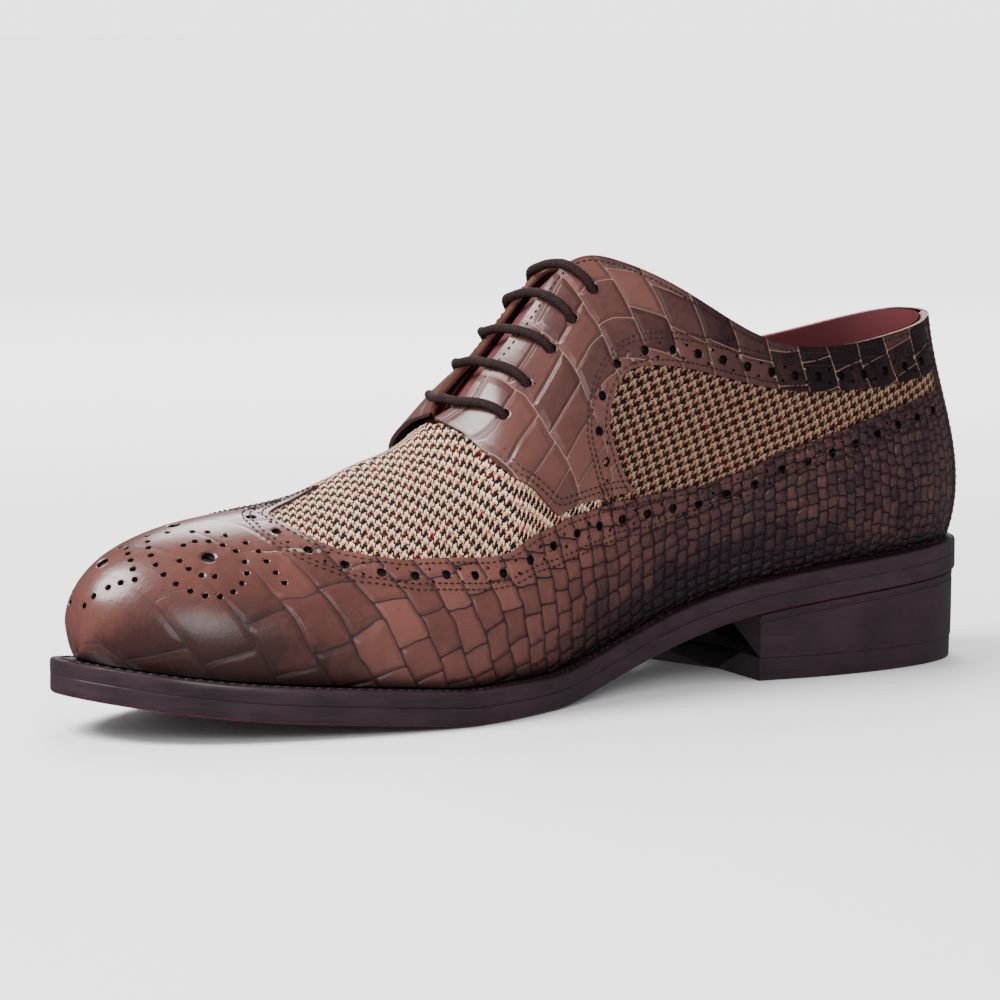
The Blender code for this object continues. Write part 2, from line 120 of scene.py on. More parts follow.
# Roundness of a rib: outward bulge low down and its rise, then the shoulder's reach and drop
Rib = namedtuple("Rib", "s bulge rise shoulder drop")
RIBS = (
    Rib(0, 8, 0.36, 2.5, 0.35), Rib(35, 7.5, 0.34, 2.5, 0.35), Rib(75, 7.0, 0.33, 4, 0.33),
    Rib(110, 8.5, 0.34, 9, 0.30), Rib(135, 8.5, 0.36, 21, 0.20), Rib(155, 8, 0.36, 23, 0.17),
    Rib(178, 7, 0.40, 22.5, 0.08), Rib(200, 5.5, 0.42, 19.5, 0.03), Rib(240, 4.5, 0.44, 18, 0),
    Rib(268, 4.2, 0.45, 14.5, 0), Rib(290, 3.4, 0.5, 7.5, 0), Rib(305, 2.4, 0.5, 0, 0))

# Drawn lines as (s, share) points: upper edge of the wing, and lower edge of its peak on the ridge
Spot = namedtuple("Spot", "s share")
WING_EDGE = (
    Spot(0, 0.69), Spot(24, 0.685), Spot(40, 0.67), Spot(65, 0.60), Spot(85, 0.53), Spot(94, 0.46),
    Spot(104, 0.41), Spot(112, 0.368), Spot(128, 0.335), Spot(136, 0.325), Spot(150, 0.345),
    Spot(162, 0.375), Spot(173, 0.385), Spot(184, 0.393), Spot(198, 0.431), Spot(217, 0.479),
    Spot(225, 0.52), Spot(232, 0.579), Spot(238, 0.65), Spot(241.5, 0.74), Spot(243, 0.81),
    Spot(243.8, 0.88), Spot(270, 0.75), Spot(305, 0.6))
PEAK_EDGE = (
    Spot(222, 1.0), Spot(227, 0.985), Spot(232, 0.965), Spot(238, 0.94), Spot(241.5, 0.915),
    Spot(243.8, 0.88), Spot(270, 0.75), Spot(305, 0.6))
VALLEY = 243.8

# Lower edge of the leather above the quarter's cloth, and of the facing in front of it
FACING_EDGE = (
    Spot(3, 0.77), Spot(40, 0.78), Spot(65, 0.80), Spot(85, 0.80), Spot(94, 0.79),
    Spot(104, 0.765), Spot(112, 0.737), Spot(128, 0.672), Spot(136, 0.64), Spot(139, 0.62),
    Spot(142, 0.59), Spot(144, 0.555), Spot(145, 0.52), Spot(150, 0.46), Spot(158, 0.41),
    Spot(166, 0.40), Spot(168, 0.42), Spot(173, 0.50), Spot(178, 0.576), Spot(181, 0.66),
    Spot(182.5, 0.75), Spot(183.3, 0.86), Spot(184, 1.0))
# The facing's tail below the cloth's round front end
TAIL_TOP = (
    Spot(135, 0.345), Spot(137, 0.355), Spot(139, 0.375), Spot(142, 0.43), Spot(144, 0.485),
    Spot(145, 0.52), Spot(150, 0.46), Spot(158, 0.41), Spot(166, 0.40))
TAIL_FOOT = (
    Spot(135, 0.343), Spot(140, 0.346), Spot(150, 0.366), Spot(158, 0.388), Spot(166, 0.398))
STAY_RIB = 3.0

# Lace holes on each facing, from the throat up; a bar crosses the throat nearer the toe by the slant
Eyelet = namedtuple("Eyelet", "rib medial lateral")
EYELETS = (
    Eyelet(176, 19.5, 16.5), Eyelet(168, 17.8, 15.8), Eyelet(160, 16.6, 15.2),
    Eyelet(151.5, 15.6, 14.8), Eyelet(142, 14, 14.5))
LACE_SLANT = 5.0

# Camera of the photograph, in metres
CAMERA_PLACE = (-0.73079, -1.03122, 0.19040)
CAMERA_AIM = (-0.00547, 0.00374, 0.05430)
CAMERA_LENS = 160.15

# Half side of the floor, in metres
STAGE_REACH = 60.0
# Strength of the world on the shoe, to the camera, and in glossy reflections
WORLD_LEVEL = 1.2
WORLD_SEEN = 3.0
WORLD_IN_GLOSS = 0.12
Lamp = namedtuple("Lamp", "name place size power")
LAMPS = (
    Lamp("key", (-0.8, 0.3, 1.1), 0.8, 40.0), Lamp("fill", (-0.55, -1.4, 0.8), 0.7, 7.0),
    Lamp("back", (0.6, 0.9, 1.0), 0.8, 14.0))

# Creases: middle (s, share), half length, half width and height in mm, slant in degrees
CREASE_RISE = 70.0
Crease = namedtuple("Crease", "s share length width height slant")
CREASES = (
    Crease(271, 0.62, 8, 1.3, -0.32, 130), Crease(262, 0.58, 11, 1.5, -0.30, 125),
    Crease(254, 0.50, 14, 1.8, -0.25, 120), Crease(232, 0.62, 13, 2.6, -0.40, 100),
    Crease(224, 0.55, 15, 3.0, 0.35, 98), Crease(214, 0.60, 16, 2.8, -0.40, 95),
    Crease(176, 0.62, 12, 2.2, -0.30, 150), Crease(160, 0.74, 10, 2.0, 0.30, 155),
    Crease(142, 0.70, 12, 2.4, -0.30, 165), Crease(96, 0.62, 16, 3.0, -0.35, 12),
    Crease(62, 0.55, 13, 2.6, -0.35, 20), Crease(40, 0.72, 9, 2.2, 0.25, 35))

# Cloth: yarn widths, yarns in one repeat of the check and how many are dark, slants and borders (s)
WARP_THREAD = 0.446
WEFT_THREAD = 0.30
THREADS = 8.0
DARK_THREADS = 4.0
VAMP_SLANT = 30.0
QUARTER_SLANT = 19.0
VAMP_CLOTH = (149, 246)
QUARTER_CLOTH = (2, 151)
CLOTH_PITCH = 1.6

# Panels: lifts above the form, pitches along the wall and rows up it
WING_LIFT = 0.1
FACING_LIFT = 0.15
STAY_LIFT = 0.7
REAR_PITCH = 0.85
FRONT_PITCH = 0.6
FACING_PITCH = 0.8
WING_ROWS = 76
PEAK_ROWS = 42
FACING_ROWS = 52
TAIL_ROWS = 28
STAY_ROWS = 90
# The facing's front is raised over this stretch of s, on each side by its own height
RAISED = (168, 182)
RAISE = {MEDIAL: 0.35, LATERAL: 2.2}

# Stitches: lift, length and radius of each row, and the row on the welt
STITCH_DEPTH = 0.12
WING_STITCHES = (WING_LIFT + STITCH_DEPTH, 1.55, 0.26)
FACING_STITCHES = (FACING_LIFT + STITCH_DEPTH, 1.45, 0.24)
SEAM_STITCH = (0.62, 1.6, 0.24)
WELT_STITCH_START = 118
WELT_STITCH_PITCH = 2.9
WELT_STITCH_INSET = 2.9

# Holes: margin to the mesh around, small ones from their row's middle, rows from the edge
HOLE_MARGIN = 0.22
PAIR_HALF = 1.9
WING_HOLES = -5.1
FACING_HOLES = 4.3
PATH_STEP = 0.6
PIN_HEIGHT = 0.09

# Size of the embossed scales along the shoe, how strong they are and how dark the leather is
Scale = namedtuple("Scale", "s size strength burnish lean")
SCALES = (
    Scale(0, 3.4, 1, 0.78, 0.0), Scale(60, 3.4, 1, 0.78, 0.0), Scale(110, 3.5, 1, 0.66, 0.12),
    Scale(140, 4.4, 1, 0.45, 0.22), Scale(165, 6.2, 1, 0.32, 0.32), Scale(190, 8.8, 1, 0.20, 0.42),
    Scale(215, 11.0, 1, 0.16, 0.46), Scale(240, 13.5, 0.9, 0.26, 0.5), Scale(262, 17, 0.6, 0.38, 0.5),
    Scale(305, 21, 0.45, 0.45, 0.5))

# Rows of stitches and the edges that they and the holes follow
WING_STITCH = (
    Spot(4, 0.60), Spot(24, 0.591), Spot(55, 0.541), Spot(76, 0.496), Spot(94, 0.383), Spot(112, 0.303),
    Spot(130, 0.253), Spot(147, 0.268), Spot(162, 0.288), Spot(183, 0.313), Spot(195.5, 0.338),
    Spot(215, 0.381), Spot(232, 0.459), Spot(242.6, 0.566), Spot(248, 0.67), Spot(250, 0.762),
    Spot(249.5, 0.87), Spot(247, 0.94), Spot(241, 0.975), Spot(234, 1.0))
WING_RIM = (Spot(4, 0.69),) + WING_EDGE[1:-2] + PEAK_EDGE[4::-1]
WINDOW_RIM = (Spot(4, 0.77),) + FACING_EDGE[1:13] + TAIL_TOP[4:0:-1]
FACING_FRONT = (
    Spot(139, 0.346), Spot(154, 0.378), Spot(165, 0.405), Spot(168, 0.429), Spot(173, 0.50),
    Spot(178, 0.576), Spot(181, 0.66), Spot(182.5, 0.75), Spot(183.2, 0.86), Spot(183.4, 0.96))
COLLAR_LINE = (Spot(10, 1.0), Spot(179, 1.0))
SEAM_LINE = (Spot(7.2, 0.03), Spot(7.2, 0.5), Spot(7.2, 0.97))

# Punched toe pattern: small holes as (s, share), mirrored on both sides, and two big ones on the ridge
TOE_HOLES = (
    Spot(300.5, 0.852), Spot(298.3, 0.794), Spot(295.3, 0.734), Spot(292.7, 0.694), Spot(289.7, 0.657),
    Spot(288.4, 0.739), Spot(287.1, 0.820), Spot(286.0, 0.895), Spot(284.6, 0.965),
    Spot(277.1, 0.985), Spot(279.3, 0.917), Spot(280.8, 0.855), Spot(282.1, 0.782), Spot(282.9, 0.700),
    Spot(282.6, 0.617), Spot(281.0, 0.539), Spot(278.4, 0.481), Spot(275.2, 0.444), Spot(271.5, 0.431),
    Spot(267.6, 0.449), Spot(264.4, 0.486), Spot(261.8, 0.535), Spot(260.7, 0.600), Spot(261.4, 0.664),
    Spot(263.6, 0.714), Spot(266.3, 0.757), Spot(269.6, 0.779), Spot(273.0, 0.774), Spot(275.6, 0.738),
    Spot(276.8, 0.676), Spot(275.9, 0.612), Spot(273.7, 0.561), Spot(270.6, 0.541),
    Spot(272.8, 0.930), Spot(270.8, 0.895), Spot(267.6, 0.862), Spot(264.3, 0.828), Spot(260.8, 0.775),
    Spot(257.2, 0.705), Spot(255.4, 0.644), Spot(254.9, 0.584), Spot(253.9, 0.524), Spot(252.8, 0.469))
TOE_BIG_HOLES = (Spot(291.5, 1.0), Spot(268.5, 1.0))
TOE_SIDE_HOLE = Spot(269.4, 0.657)

# Middles of the pin groups under the heel: s, t and side
PIN_GROUPS = ((79, 27, LATERAL), (62, 28, LATERAL), (79, 24, MEDIAL), (45, 26, MEDIAL), (12, 14, MEDIAL))


def normed(rows):
    """Each row at length 1."""
    return rows / np.maximum(np.linalg.norm(rows, axis=-1, keepdims=True), 1e-12)


def run_along(path):
    """Distance from a path's start to each of its points."""
    return np.concatenate(([0], np.cumsum(np.linalg.norm(np.diff(path, axis=0), axis=1))))


def eased(path, times):
    """A path smoothed along its length, with its ends kept."""
    path = path.copy()
    for _ in range(times):
        path[1:-1] = (path[:-2] + 2 * path[1:-1] + path[2:]) / 4
    return path


# ---- the last ----

def turn(s):
    """Rib number 0..1 of a distance from the heel."""
    return np.arccos(np.clip(1 - 2 * np.asarray(s, float) / LENGTH, -1, 1)) / math.pi


def along(rib):
    """Distance from the heel of a rib number."""
    return LENGTH * (1 - np.cos(math.pi * np.asarray(rib, float))) / 2


@functools.lru_cache(maxsize=None)
def spline_knots(table, name, rounded):
    """Knots, values and second derivatives of the natural cubic spline through a table's column."""
    knots = np.array([row[0] for row in table], float)
    if rounded:
        knots = turn(knots)
    values = np.array([getattr(row, name) for row in table], float)
    step = np.diff(knots)
    slope = np.diff(values) / step
    matrix = np.eye(len(knots))
    right = np.zeros(len(knots))
    for i in range(1, len(knots) - 1):
        matrix[i, i - 1:i + 2] = step[i - 1], 2 * (step[i - 1] + step[i]), step[i]
        right[i] = 6 * (slope[i] - slope[i - 1])
    return knots, values, np.linalg.solve(matrix, right)


def spline(table, name, rounded, at):
    """Value of a table's column on its spline."""
    knots, values, bend = spline_knots(table, name, rounded)
    i = np.clip(np.searchsorted(knots, at) - 1, 0, len(knots) - 2)
    step = knots[i + 1] - knots[i]
    past = (at - knots[i]) / step
    left = 1 - past
    curve = (left ** 3 - left) * bend[i] + (past ** 3 - past) * bend[i + 1]
    return left * values[i] + past * values[i + 1] + curve * step ** 2 / 6


def by_rib(table, name, rib):
    """Table value at a rib number, smooth round the heel and the toe."""
    return spline(table, name, True, rib)


def by_length(table, name, s):
    """Table value at a distance from the heel."""
    return spline(table, name, False, np.clip(s, 0, LENGTH))


def by_line(table, rib):
    """Share of a rib at which a drawn line crosses it."""
    return np.interp(along(rib), [row.s for row in table], [row.share for row in table])


def side_name(side):
    """Column name of a side."""
    return "medial" if side == MEDIAL else "lateral"


def underside(s):
    """Height of the outsole's underside, flat where it treads."""
    return np.maximum(by_length(SOLE_UNDERSIDE, "z", s), 0)


def edge_width(rib, side):
    """Half width of the sole edge at a rib."""
    return by_rib(SOLE_OUTLINE, side_name(side), rib)


def sole_edge(rib, side, inset=0.0):
    """Point (s, t) of the sole edge moved in by an inset, and its outward direction."""
    low = np.clip(rib - 1e-4, 0, 1)
    high = np.clip(rib + 1e-4, 0, 1)
    run = along(high) - along(low)
    rise = edge_width(high, side) - edge_width(low, side)
    size = np.hypot(run, rise)
    out_s = -rise / size
    out_t = run / size
    return along(rib) - out_s * inset, edge_width(rib, side) - out_t * inset, out_s, out_t


@functools.lru_cache(maxsize=None)
def centre_shift():
    """Sideways shift that centres the sole on the frame."""
    ribs = np.linspace(0, 1, 400)
    return (max(edge_width(ribs, MEDIAL)) - max(edge_width(ribs, LATERAL))) / 2


def place(s, t, z, side):
    """Metres in the frame, as an array of points."""
    s, t, z = (np.asarray(value, float) for value in (s, t, z))
    return np.stack(np.broadcast_arrays(LENGTH / 2 - s, centre_shift() - side * t, z), -1) * MM


def surface(rib, share, side):
    """Point (s, t, z) of the upper's outer form at a share of a rib."""
    foot_s, foot_t, out_s, out_t = sole_edge(rib, side, by_length(WELT_MARGIN, "inset", along(rib)))
    foot_z = underside(foot_s) + SOLE_EDGE + FOOT_GAP
    top_s = by_rib(TOP_LINE, "s", rib)
    top_t = np.maximum(by_rib(TOP_LINE, side_name(side), rib), 0)
    top_z = by_rib(TOP_LINE, "z", rib)
    if side == LATERAL:
        top_z = top_z - np.where(along(rib) < THROAT, by_rib(TOP_LINE, "drop", rib), 0)
    bulge, rise, shoulder, drop = (by_rib(RIBS, name, rib) for name in ("bulge", "rise", "shoulder", "drop"))
    height = top_z - foot_z
    ahead = np.clip((along(rib) - 30) / 50, 0, 1)
    ahead = ahead * ahead * (3 - 2 * ahead)
    side_s = out_s * (1 - ahead)
    side_t = out_t * (1 - ahead) + ahead
    reach = shoulder / np.hypot(side_s, side_t)
    reach = reach * (1 - ahead + ahead * np.clip(foot_t / HALF_THROAT, 0, 1))
    shoulder_t = np.maximum(top_t, np.minimum(foot_t, HALF_THROAT))
    points = ((foot_s, foot_t, foot_z),
              (foot_s + out_s * bulge, foot_t + out_t * bulge, foot_z + rise * height),
              (top_s + side_s * reach, shoulder_t + side_t * reach, top_z - drop * height),
              (top_s, top_t, top_z))
    weights = ((1 - share) ** 3, 3 * share * (1 - share) ** 2, 3 * share ** 2 * (1 - share), share ** 3)
    return np.stack([sum(w * p[axis] for w, p in zip(weights, points)) for axis in range(3)], -1)


def one_side_normal(rib, share, side):
    """Outward direction of the form, from its own slopes."""
    rib = np.clip(rib, 0.006, 0.99)
    share = np.clip(share, 0.01, 0.99)
    across = surface(rib, share + 0.004, side) - surface(rib, share - 0.004, side)
    forward = surface(rib + 0.002, share, side) - surface(rib - 0.002, share, side)
    return normed(np.cross(across, forward))


def creases(rib, share):
    """Soft troughs (below 0) and ridges pressed into the upper by wear, in millimetres."""
    s = along(rib)
    total = np.zeros(np.shape(s))
    for fold in CREASES:
        lean = math.radians(fold.slant)
        ahead, up = s - fold.s, (share - fold.share) * CREASE_RISE
        way = ahead * math.cos(lean) + up * math.sin(lean)
        off = up * math.cos(lean) - ahead * math.sin(lean)
        total = total + fold.height * np.exp(-(way / fold.length) ** 2 - (off / fold.width) ** 2)
    return total * np.clip(share / 0.1, 0, 1) * np.clip((1 - share) / 0.1, 0, 1)


def skin(rib, share, side, lift):
    """Points in metres on the form moved out by a lift, and their outward directions."""
    rib, share, lift = np.broadcast_arrays(*(np.asarray(value, float) for value in (rib, share, lift)))
    point = surface(rib, share, side)
    lift = lift + creases(rib, share)
    direction = one_side_normal(rib, share, side)
    middle = (rib < 1e-4) | (rib > 1 - 1e-4) | ((share > 1 - 1e-4) & (along(rib) > THROAT - 0.01))
    if middle.any():
        both = direction + one_side_normal(rib, share, -side)
        both[..., 1] = 0
        direction = np.where(middle[..., None], normed(both), direction)
        point[..., 1] = np.where(middle, 0, point[..., 1])
    point = point + direction * lift[..., None]
    floor = underside(point[..., 0]) + SOLE_EDGE + FOOT_GAP
    point[..., 2] = np.where(share < 1e-4, floor, np.maximum(point[..., 2], floor))
    out = np.stack((-direction[..., 0], -side * direction[..., 1], direction[..., 2]), -1)
    return place(point[..., 0], point[..., 1], point[..., 2], side), out


# ---- the flat pattern ----

FLAT_RIBS = np.linspace(0, 1, 401)
FLAT_SHARES = np.linspace(0, 1, 161)


@functools.lru_cache(maxsize=None)
def flat_heights(side):
    """Height in millimetres along each rib of a fine table of ribs and shares."""
    points = surface(FLAT_RIBS[:, None], FLAT_SHARES[None, :], side)
    steps = np.linalg.norm(np.diff(points, axis=1), axis=-1)
    return np.concatenate((np.zeros((len(FLAT_RIBS), 1)), np.cumsum(steps, axis=1)), axis=1)


def rib_rows(rib, side):
    """Heights of every table share at each given rib."""
    table = flat_heights(side)
    spot = np.clip(np.asarray(rib, float), 0, 1) * (len(FLAT_RIBS) - 1)
    low = np.minimum(spot.astype(int), len(FLAT_RIBS) - 2)
    part = (spot - low)[..., None]
    return table[low] * (1 - part) + table[low + 1] * part


def height_at(rib, share, side):
    """Height along the rib of a share."""
    rows = rib_rows(rib, side)
    spot = np.clip(share, 0, 1) * (len(FLAT_SHARES) - 1)
    low = np.minimum(spot.astype(int), len(FLAT_SHARES) - 2)
    part = spot - low
    first = np.take_along_axis(rows, low[..., None], -1)[..., 0]
    second = np.take_along_axis(rows, low[..., None] + 1, -1)[..., 0]
    return first * (1 - part) + second * part


def share_at(rib, height, side):
    """Share of a rib at a height along it."""
    rows = rib_rows(rib, side)
    low = np.clip((rows < np.asarray(height)[..., None]).sum(-1) - 1, 0, len(FLAT_SHARES) - 2)
    first = np.take_along_axis(rows, low[..., None], -1)[..., 0]
    second = np.take_along_axis(rows, low[..., None] + 1, -1)[..., 0]
    part = np.clip((height - first) / np.maximum(second - first, 1e-6), 0, 1)
    return (low + part) / (len(FLAT_SHARES) - 1)


def beside(line, distance):
    """A flat line moved sideways, to its left seen along it from above, and eased at its corners."""
    ahead = normed(np.gradient(line, axis=0))
    return line + np.stack((-ahead[:, 1], ahead[:, 0]), -1) * distance


def even(line, pitch):
    """Points at an even pitch along a flat line."""
    run = run_along(line)
    count = max(int(run[-1] / pitch), 1)
    stations = (np.arange(count) + 0.5) * run[-1] / count
    return np.stack([np.interp(stations, run, line[:, axis]) for axis in range(2)], -1)


def on_upper(flat, side, lift):
    """Points in metres and outward directions of flat points."""
    rib = turn(flat[:, 0])
    return skin(rib, share_at(rib, flat[:, 1], side), side, lift)


# ---- mesh helpers ----

def put(name, data):
    """A new object in the scene."""
    item = bpy.data.objects.new(name, data)
    bpy.context.scene.collection.objects.link(item)
    return item


def grid_mesh(columns, rows, spot):
    """A grid whose vertices are moved by a function of (u, v) that gives points, directions, marks."""
    grid = bmesh.new()
    bmesh.ops.create_grid(grid, x_segments=columns, y_segments=rows, size=1.0)
    mesh = bpy.data.meshes.new("patch")
    grid.to_mesh(mesh)
    grid.free()
    flat = np.empty(len(mesh.vertices) * 3)
    mesh.vertices.foreach_get("co", flat)
    u, v = (flat.reshape(-1, 3)[:, :2].T + 1) / 2
    points, out, marks = spot(u, v)
    mesh.vertices.foreach_set("co", points.ravel())
    for name, part in (("pattern", marks[:, :3]), ("tone", marks[:, 3:])):
        layer = mesh.attributes.new(name, "FLOAT_VECTOR", "POINT")
        layer.data.foreach_set("vector", np.ascontiguousarray(part, float).ravel())
    mesh.update()
    normals = np.empty(len(mesh.polygons) * 3)
    mesh.polygons.foreach_get("normal", normals)
    corner = np.empty(len(mesh.loops), int)
    mesh.loops.foreach_get("vertex_index", corner)
    starts = np.empty(len(mesh.polygons), int)
    mesh.polygons.foreach_get("loop_start", starts)
    if (normals.reshape(-1, 3) * out[corner[starts]]).sum() < 0:
        mesh.flip_normals()
    return mesh


def sew(patches, merge=0.02 * MM):
    """One bmesh of several patches, joined where they meet."""
    mesh = bmesh.new()
    for patch in patches:
        mesh.from_mesh(patch)
        bpy.data.meshes.remove(patch)
    bmesh.ops.remove_doubles(mesh, verts=mesh.verts, dist=merge)
    bmesh.ops.dissolve_degenerate(mesh, edges=mesh.edges, dist=merge * 0.5)
    mesh.normal_update()
    return mesh


def edge_wall(mesh, thickness, slot, edges):
    """Fold a panel's open edge down by a thickness, and give back the new edge."""
    edges = [edge for edge in edges if edge.is_boundary]
    normals = {vert: vert.normal.copy() for edge in edges for vert in edge.verts}
    made = bmesh.ops.extrude_edge_only(mesh, edges=edges)["geom"]
    fresh = {item for item in made if isinstance(item, bmesh.types.BMVert)}
    for vert in fresh:
        old = next(e.other_vert(vert) for e in vert.link_edges if e.other_vert(vert) not in fresh)
        vert.co = old.co - normals.get(old, old.normal) * thickness
    for item in made:
        if isinstance(item, bmesh.types.BMFace):
            item.material_index = slot
    return [item for item in made if isinstance(item, bmesh.types.BMEdge) and item.is_boundary]


def finish_piece(name, mesh, materials, sharp=35, replaces=()):
    """Turn a bmesh into a piece that rides on the shoe."""
    data = bpy.data.meshes.new(name)
    mesh.to_mesh(data)
    mesh.free()
    data.polygons.foreach_set("use_smooth", [True] * len(data.polygons))
    data.set_sharp_from_angle(angle=math.radians(sharp))
    for material in materials:
        data.materials.append(material)
    piece = put(name, data)
    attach(piece, "root")
    for node in replaces:
        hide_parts(node)
    return piece


def upper_patch(ribs, rows, side, low, high, lift, marks):
    """Patch of the upper over a list of ribs and between two lines; low and high are functions of the rib."""
    def spot(u, v):
        rib = ribs[np.rint(u * (len(ribs) - 1)).astype(int)]
        start = low(rib)
        share = start + (high(rib) - start) * v
        points, out = skin(rib, share, side, lift(rib, share) if callable(lift) else lift)
        return points, out, marks(rib, share, side)
    return grid_mesh(len(ribs) - 1, rows, spot)


@functools.lru_cache(maxsize=None)
def wall_run(side):
    """Length of the wall, a third of the way up, from the heel to each rib of the fine table."""
    return run_along(surface(FLAT_RIBS, 0.35, side))


def columns(first, last, pitch):
    """Ribs from one distance from the heel to another, evenly spaced along the wall."""
    ends = np.interp(turn([first, last]), FLAT_RIBS, wall_run(MEDIAL))
    count = max(int(round((ends[1] - ends[0]) / pitch)), 2)
    ribs = np.interp(np.linspace(*ends, count + 1), wall_run(MEDIAL), FLAT_RIBS)
    ribs[[0, -1]] = turn([first, last])
    return ribs


def punch(mesh, holes, depth, slot):
    """Round holes with a soft lip: each hole is (centre, direction, radius) in metres."""
    verts = list(mesh.verts)
    points = np.array([vert.co[:] for vert in verts])
    cell = 2.5 * MM
    lookup = {}
    for i, key in enumerate(map(tuple, np.floor(points / cell).astype(int))):
        lookup.setdefault(key, []).append(i)
    taken = set()
    rims = []
    for centre, direction, radius in holes:
        key = np.floor(np.array(centre) / cell).astype(int)
        near = [i for x in (-1, 0, 1) for y in (-1, 0, 1) for z in (-1, 0, 1)
                for i in lookup.get((key[0] + x, key[1] + y, key[2] + z), ())]
        if not near:
            continue
        distance = np.linalg.norm(points[near] - centre, axis=1)
        inside = {verts[near[i]] for i in np.flatnonzero(distance < radius + HOLE_MARGIN * MM)}
        inside = inside or {verts[near[int(distance.argmin())]]}
        faces = {face for vert in inside for face in vert.link_faces}
        around = {vert for face in faces for vert in face.verts}
        inside |= {vert for vert in around if all(face in faces for face in vert.link_faces)}
        if around & taken or any(vert.is_boundary for vert in around):
            continue
        taken |= around
        rims.append((inside, around - inside, Vector(centre), Vector(direction), radius))
    bmesh.ops.delete(mesh, geom=[vert for rim in rims for vert in rim[0]], context="VERTS")
    owner = {vert: rim[2:] for rim in rims for vert in rim[1]}
    edges = [edge for vert in owner for edge in vert.link_edges
             if edge.is_boundary and edge.other_vert(vert) in owner]
    edges = list(dict.fromkeys(edges))
    for share, sink in ((1.2, 0.0), (1.0, 0.15 * MM), (0.96, depth)):
        made = bmesh.ops.extrude_edge_only(mesh, edges=edges)["geom"]
        fresh = {item for item in made if isinstance(item, bmesh.types.BMVert)}
        rings = {}
        for vert in fresh:
            old = next(e.other_vert(vert) for e in vert.link_edges if e.other_vert(vert) in owner)
            owner[vert] = owner[old]
            rings.setdefault(id(owner[old][0]), []).append((vert, old))
        for pairs in rings.values():
            centre, up, radius = owner[pairs[0][0]]
            level = up.orthogonal().normalized()
            other = up.cross(level)
            angles = sorted((math.atan2((old.co - centre).dot(other), (old.co - centre).dot(level)), k)
                            for k, (vert, old) in enumerate(pairs))
            slice_of = 2 * math.pi / len(angles)
            turn_by = sum(angle - slice_of * k for k, (angle, _) in enumerate(angles)) / len(angles)
            for k, (_, pair) in enumerate(angles):
                angle = turn_by + slice_of * k
                vert, old = pairs[pair]
                vert.co = (centre + (level * math.cos(angle) + other * math.sin(angle)) * radius * share
                           - up * sink)
        edges = [item for item in made if isinstance(item, bmesh.types.BMEdge) and item.is_boundary]
        # Painted shade: the deep wall and the floor of each hole take the near-black slot
        for item in made:
            if isinstance(item, bmesh.types.BMFace) and sink > 0.5 * MM:
                item.material_index = slot
    for face in bmesh.ops.edgeloop_fill(mesh, edges=edges)["faces"]:
        face.material_index = slot


def shape_of(unit):
    """Mesh and points of a small shape that is copied along a row; the bmesh is freed."""
    bar = bpy.data.meshes.new("bar")
    unit.to_mesh(bar)
    unit.free()
    return bar, np.array([vert.co[:] for vert in bar.vertices])


def stitches(rows, side, lift, length, radius):
    """Rows of sewn stitches along flat lines: short round bars that dip at both ends."""
    unit = bmesh.new()
    bmesh.ops.create_cone(unit, cap_ends=True, segments=6, radius1=1.0, radius2=1.0, depth=1.0)
    long_edges = [edge for edge in unit.edges if abs(edge.verts[0].co.z - edge.verts[1].co.z) > 0.5]
    bmesh.ops.subdivide_edges(unit, edges=long_edges, cuts=2)
    for vert in unit.verts:
        share = abs(vert.co.z) * 2
        vert.co.x *= 1 - 0.5 * share ** 3
        vert.co.y *= 1 - 0.5 * share ** 3
    unit.normal_update()
    bar, local = shape_of(unit)
    thread = bmesh.new()
    for row in rows:
        centres = even(row, length * 1.28)
        ends = [on_upper(centres + shift, side, lift)[0] for shift in
                (flat_step(row, centres) * -0.01, flat_step(row, centres) * 0.01)]
        points, out = on_upper(centres, side, lift)
        ahead = normed(ends[1] - ends[0])
        across = normed(np.cross(out, ahead))
        up = np.cross(ahead, across)
        for point, a, c, u in zip(points, ahead, across, up):
            dip = (np.abs(local[:, 2:]) * 2) ** 2 * radius * 1.1
            moved = (point + local[:, 2:] * length * MM * a + local[:, :1] * radius * MM * c
                     + (local[:, 1:2] * radius - dip) * MM * u)
            bar.vertices.foreach_set("co", moved.ravel())
            thread.from_mesh(bar)
    bpy.data.meshes.remove(bar)
    return thread


def flat_step(row, centres):
    """Direction of a flat line at points along it."""
    ahead = np.gradient(row, axis=0)
    steps = run_along(row)
    spots = (np.arange(len(centres)) + 0.5) * steps[-1] / len(centres)
    return normed(np.stack([np.interp(spots, steps, ahead[:, axis]) for axis in range(2)], -1))


# ---- materials ----

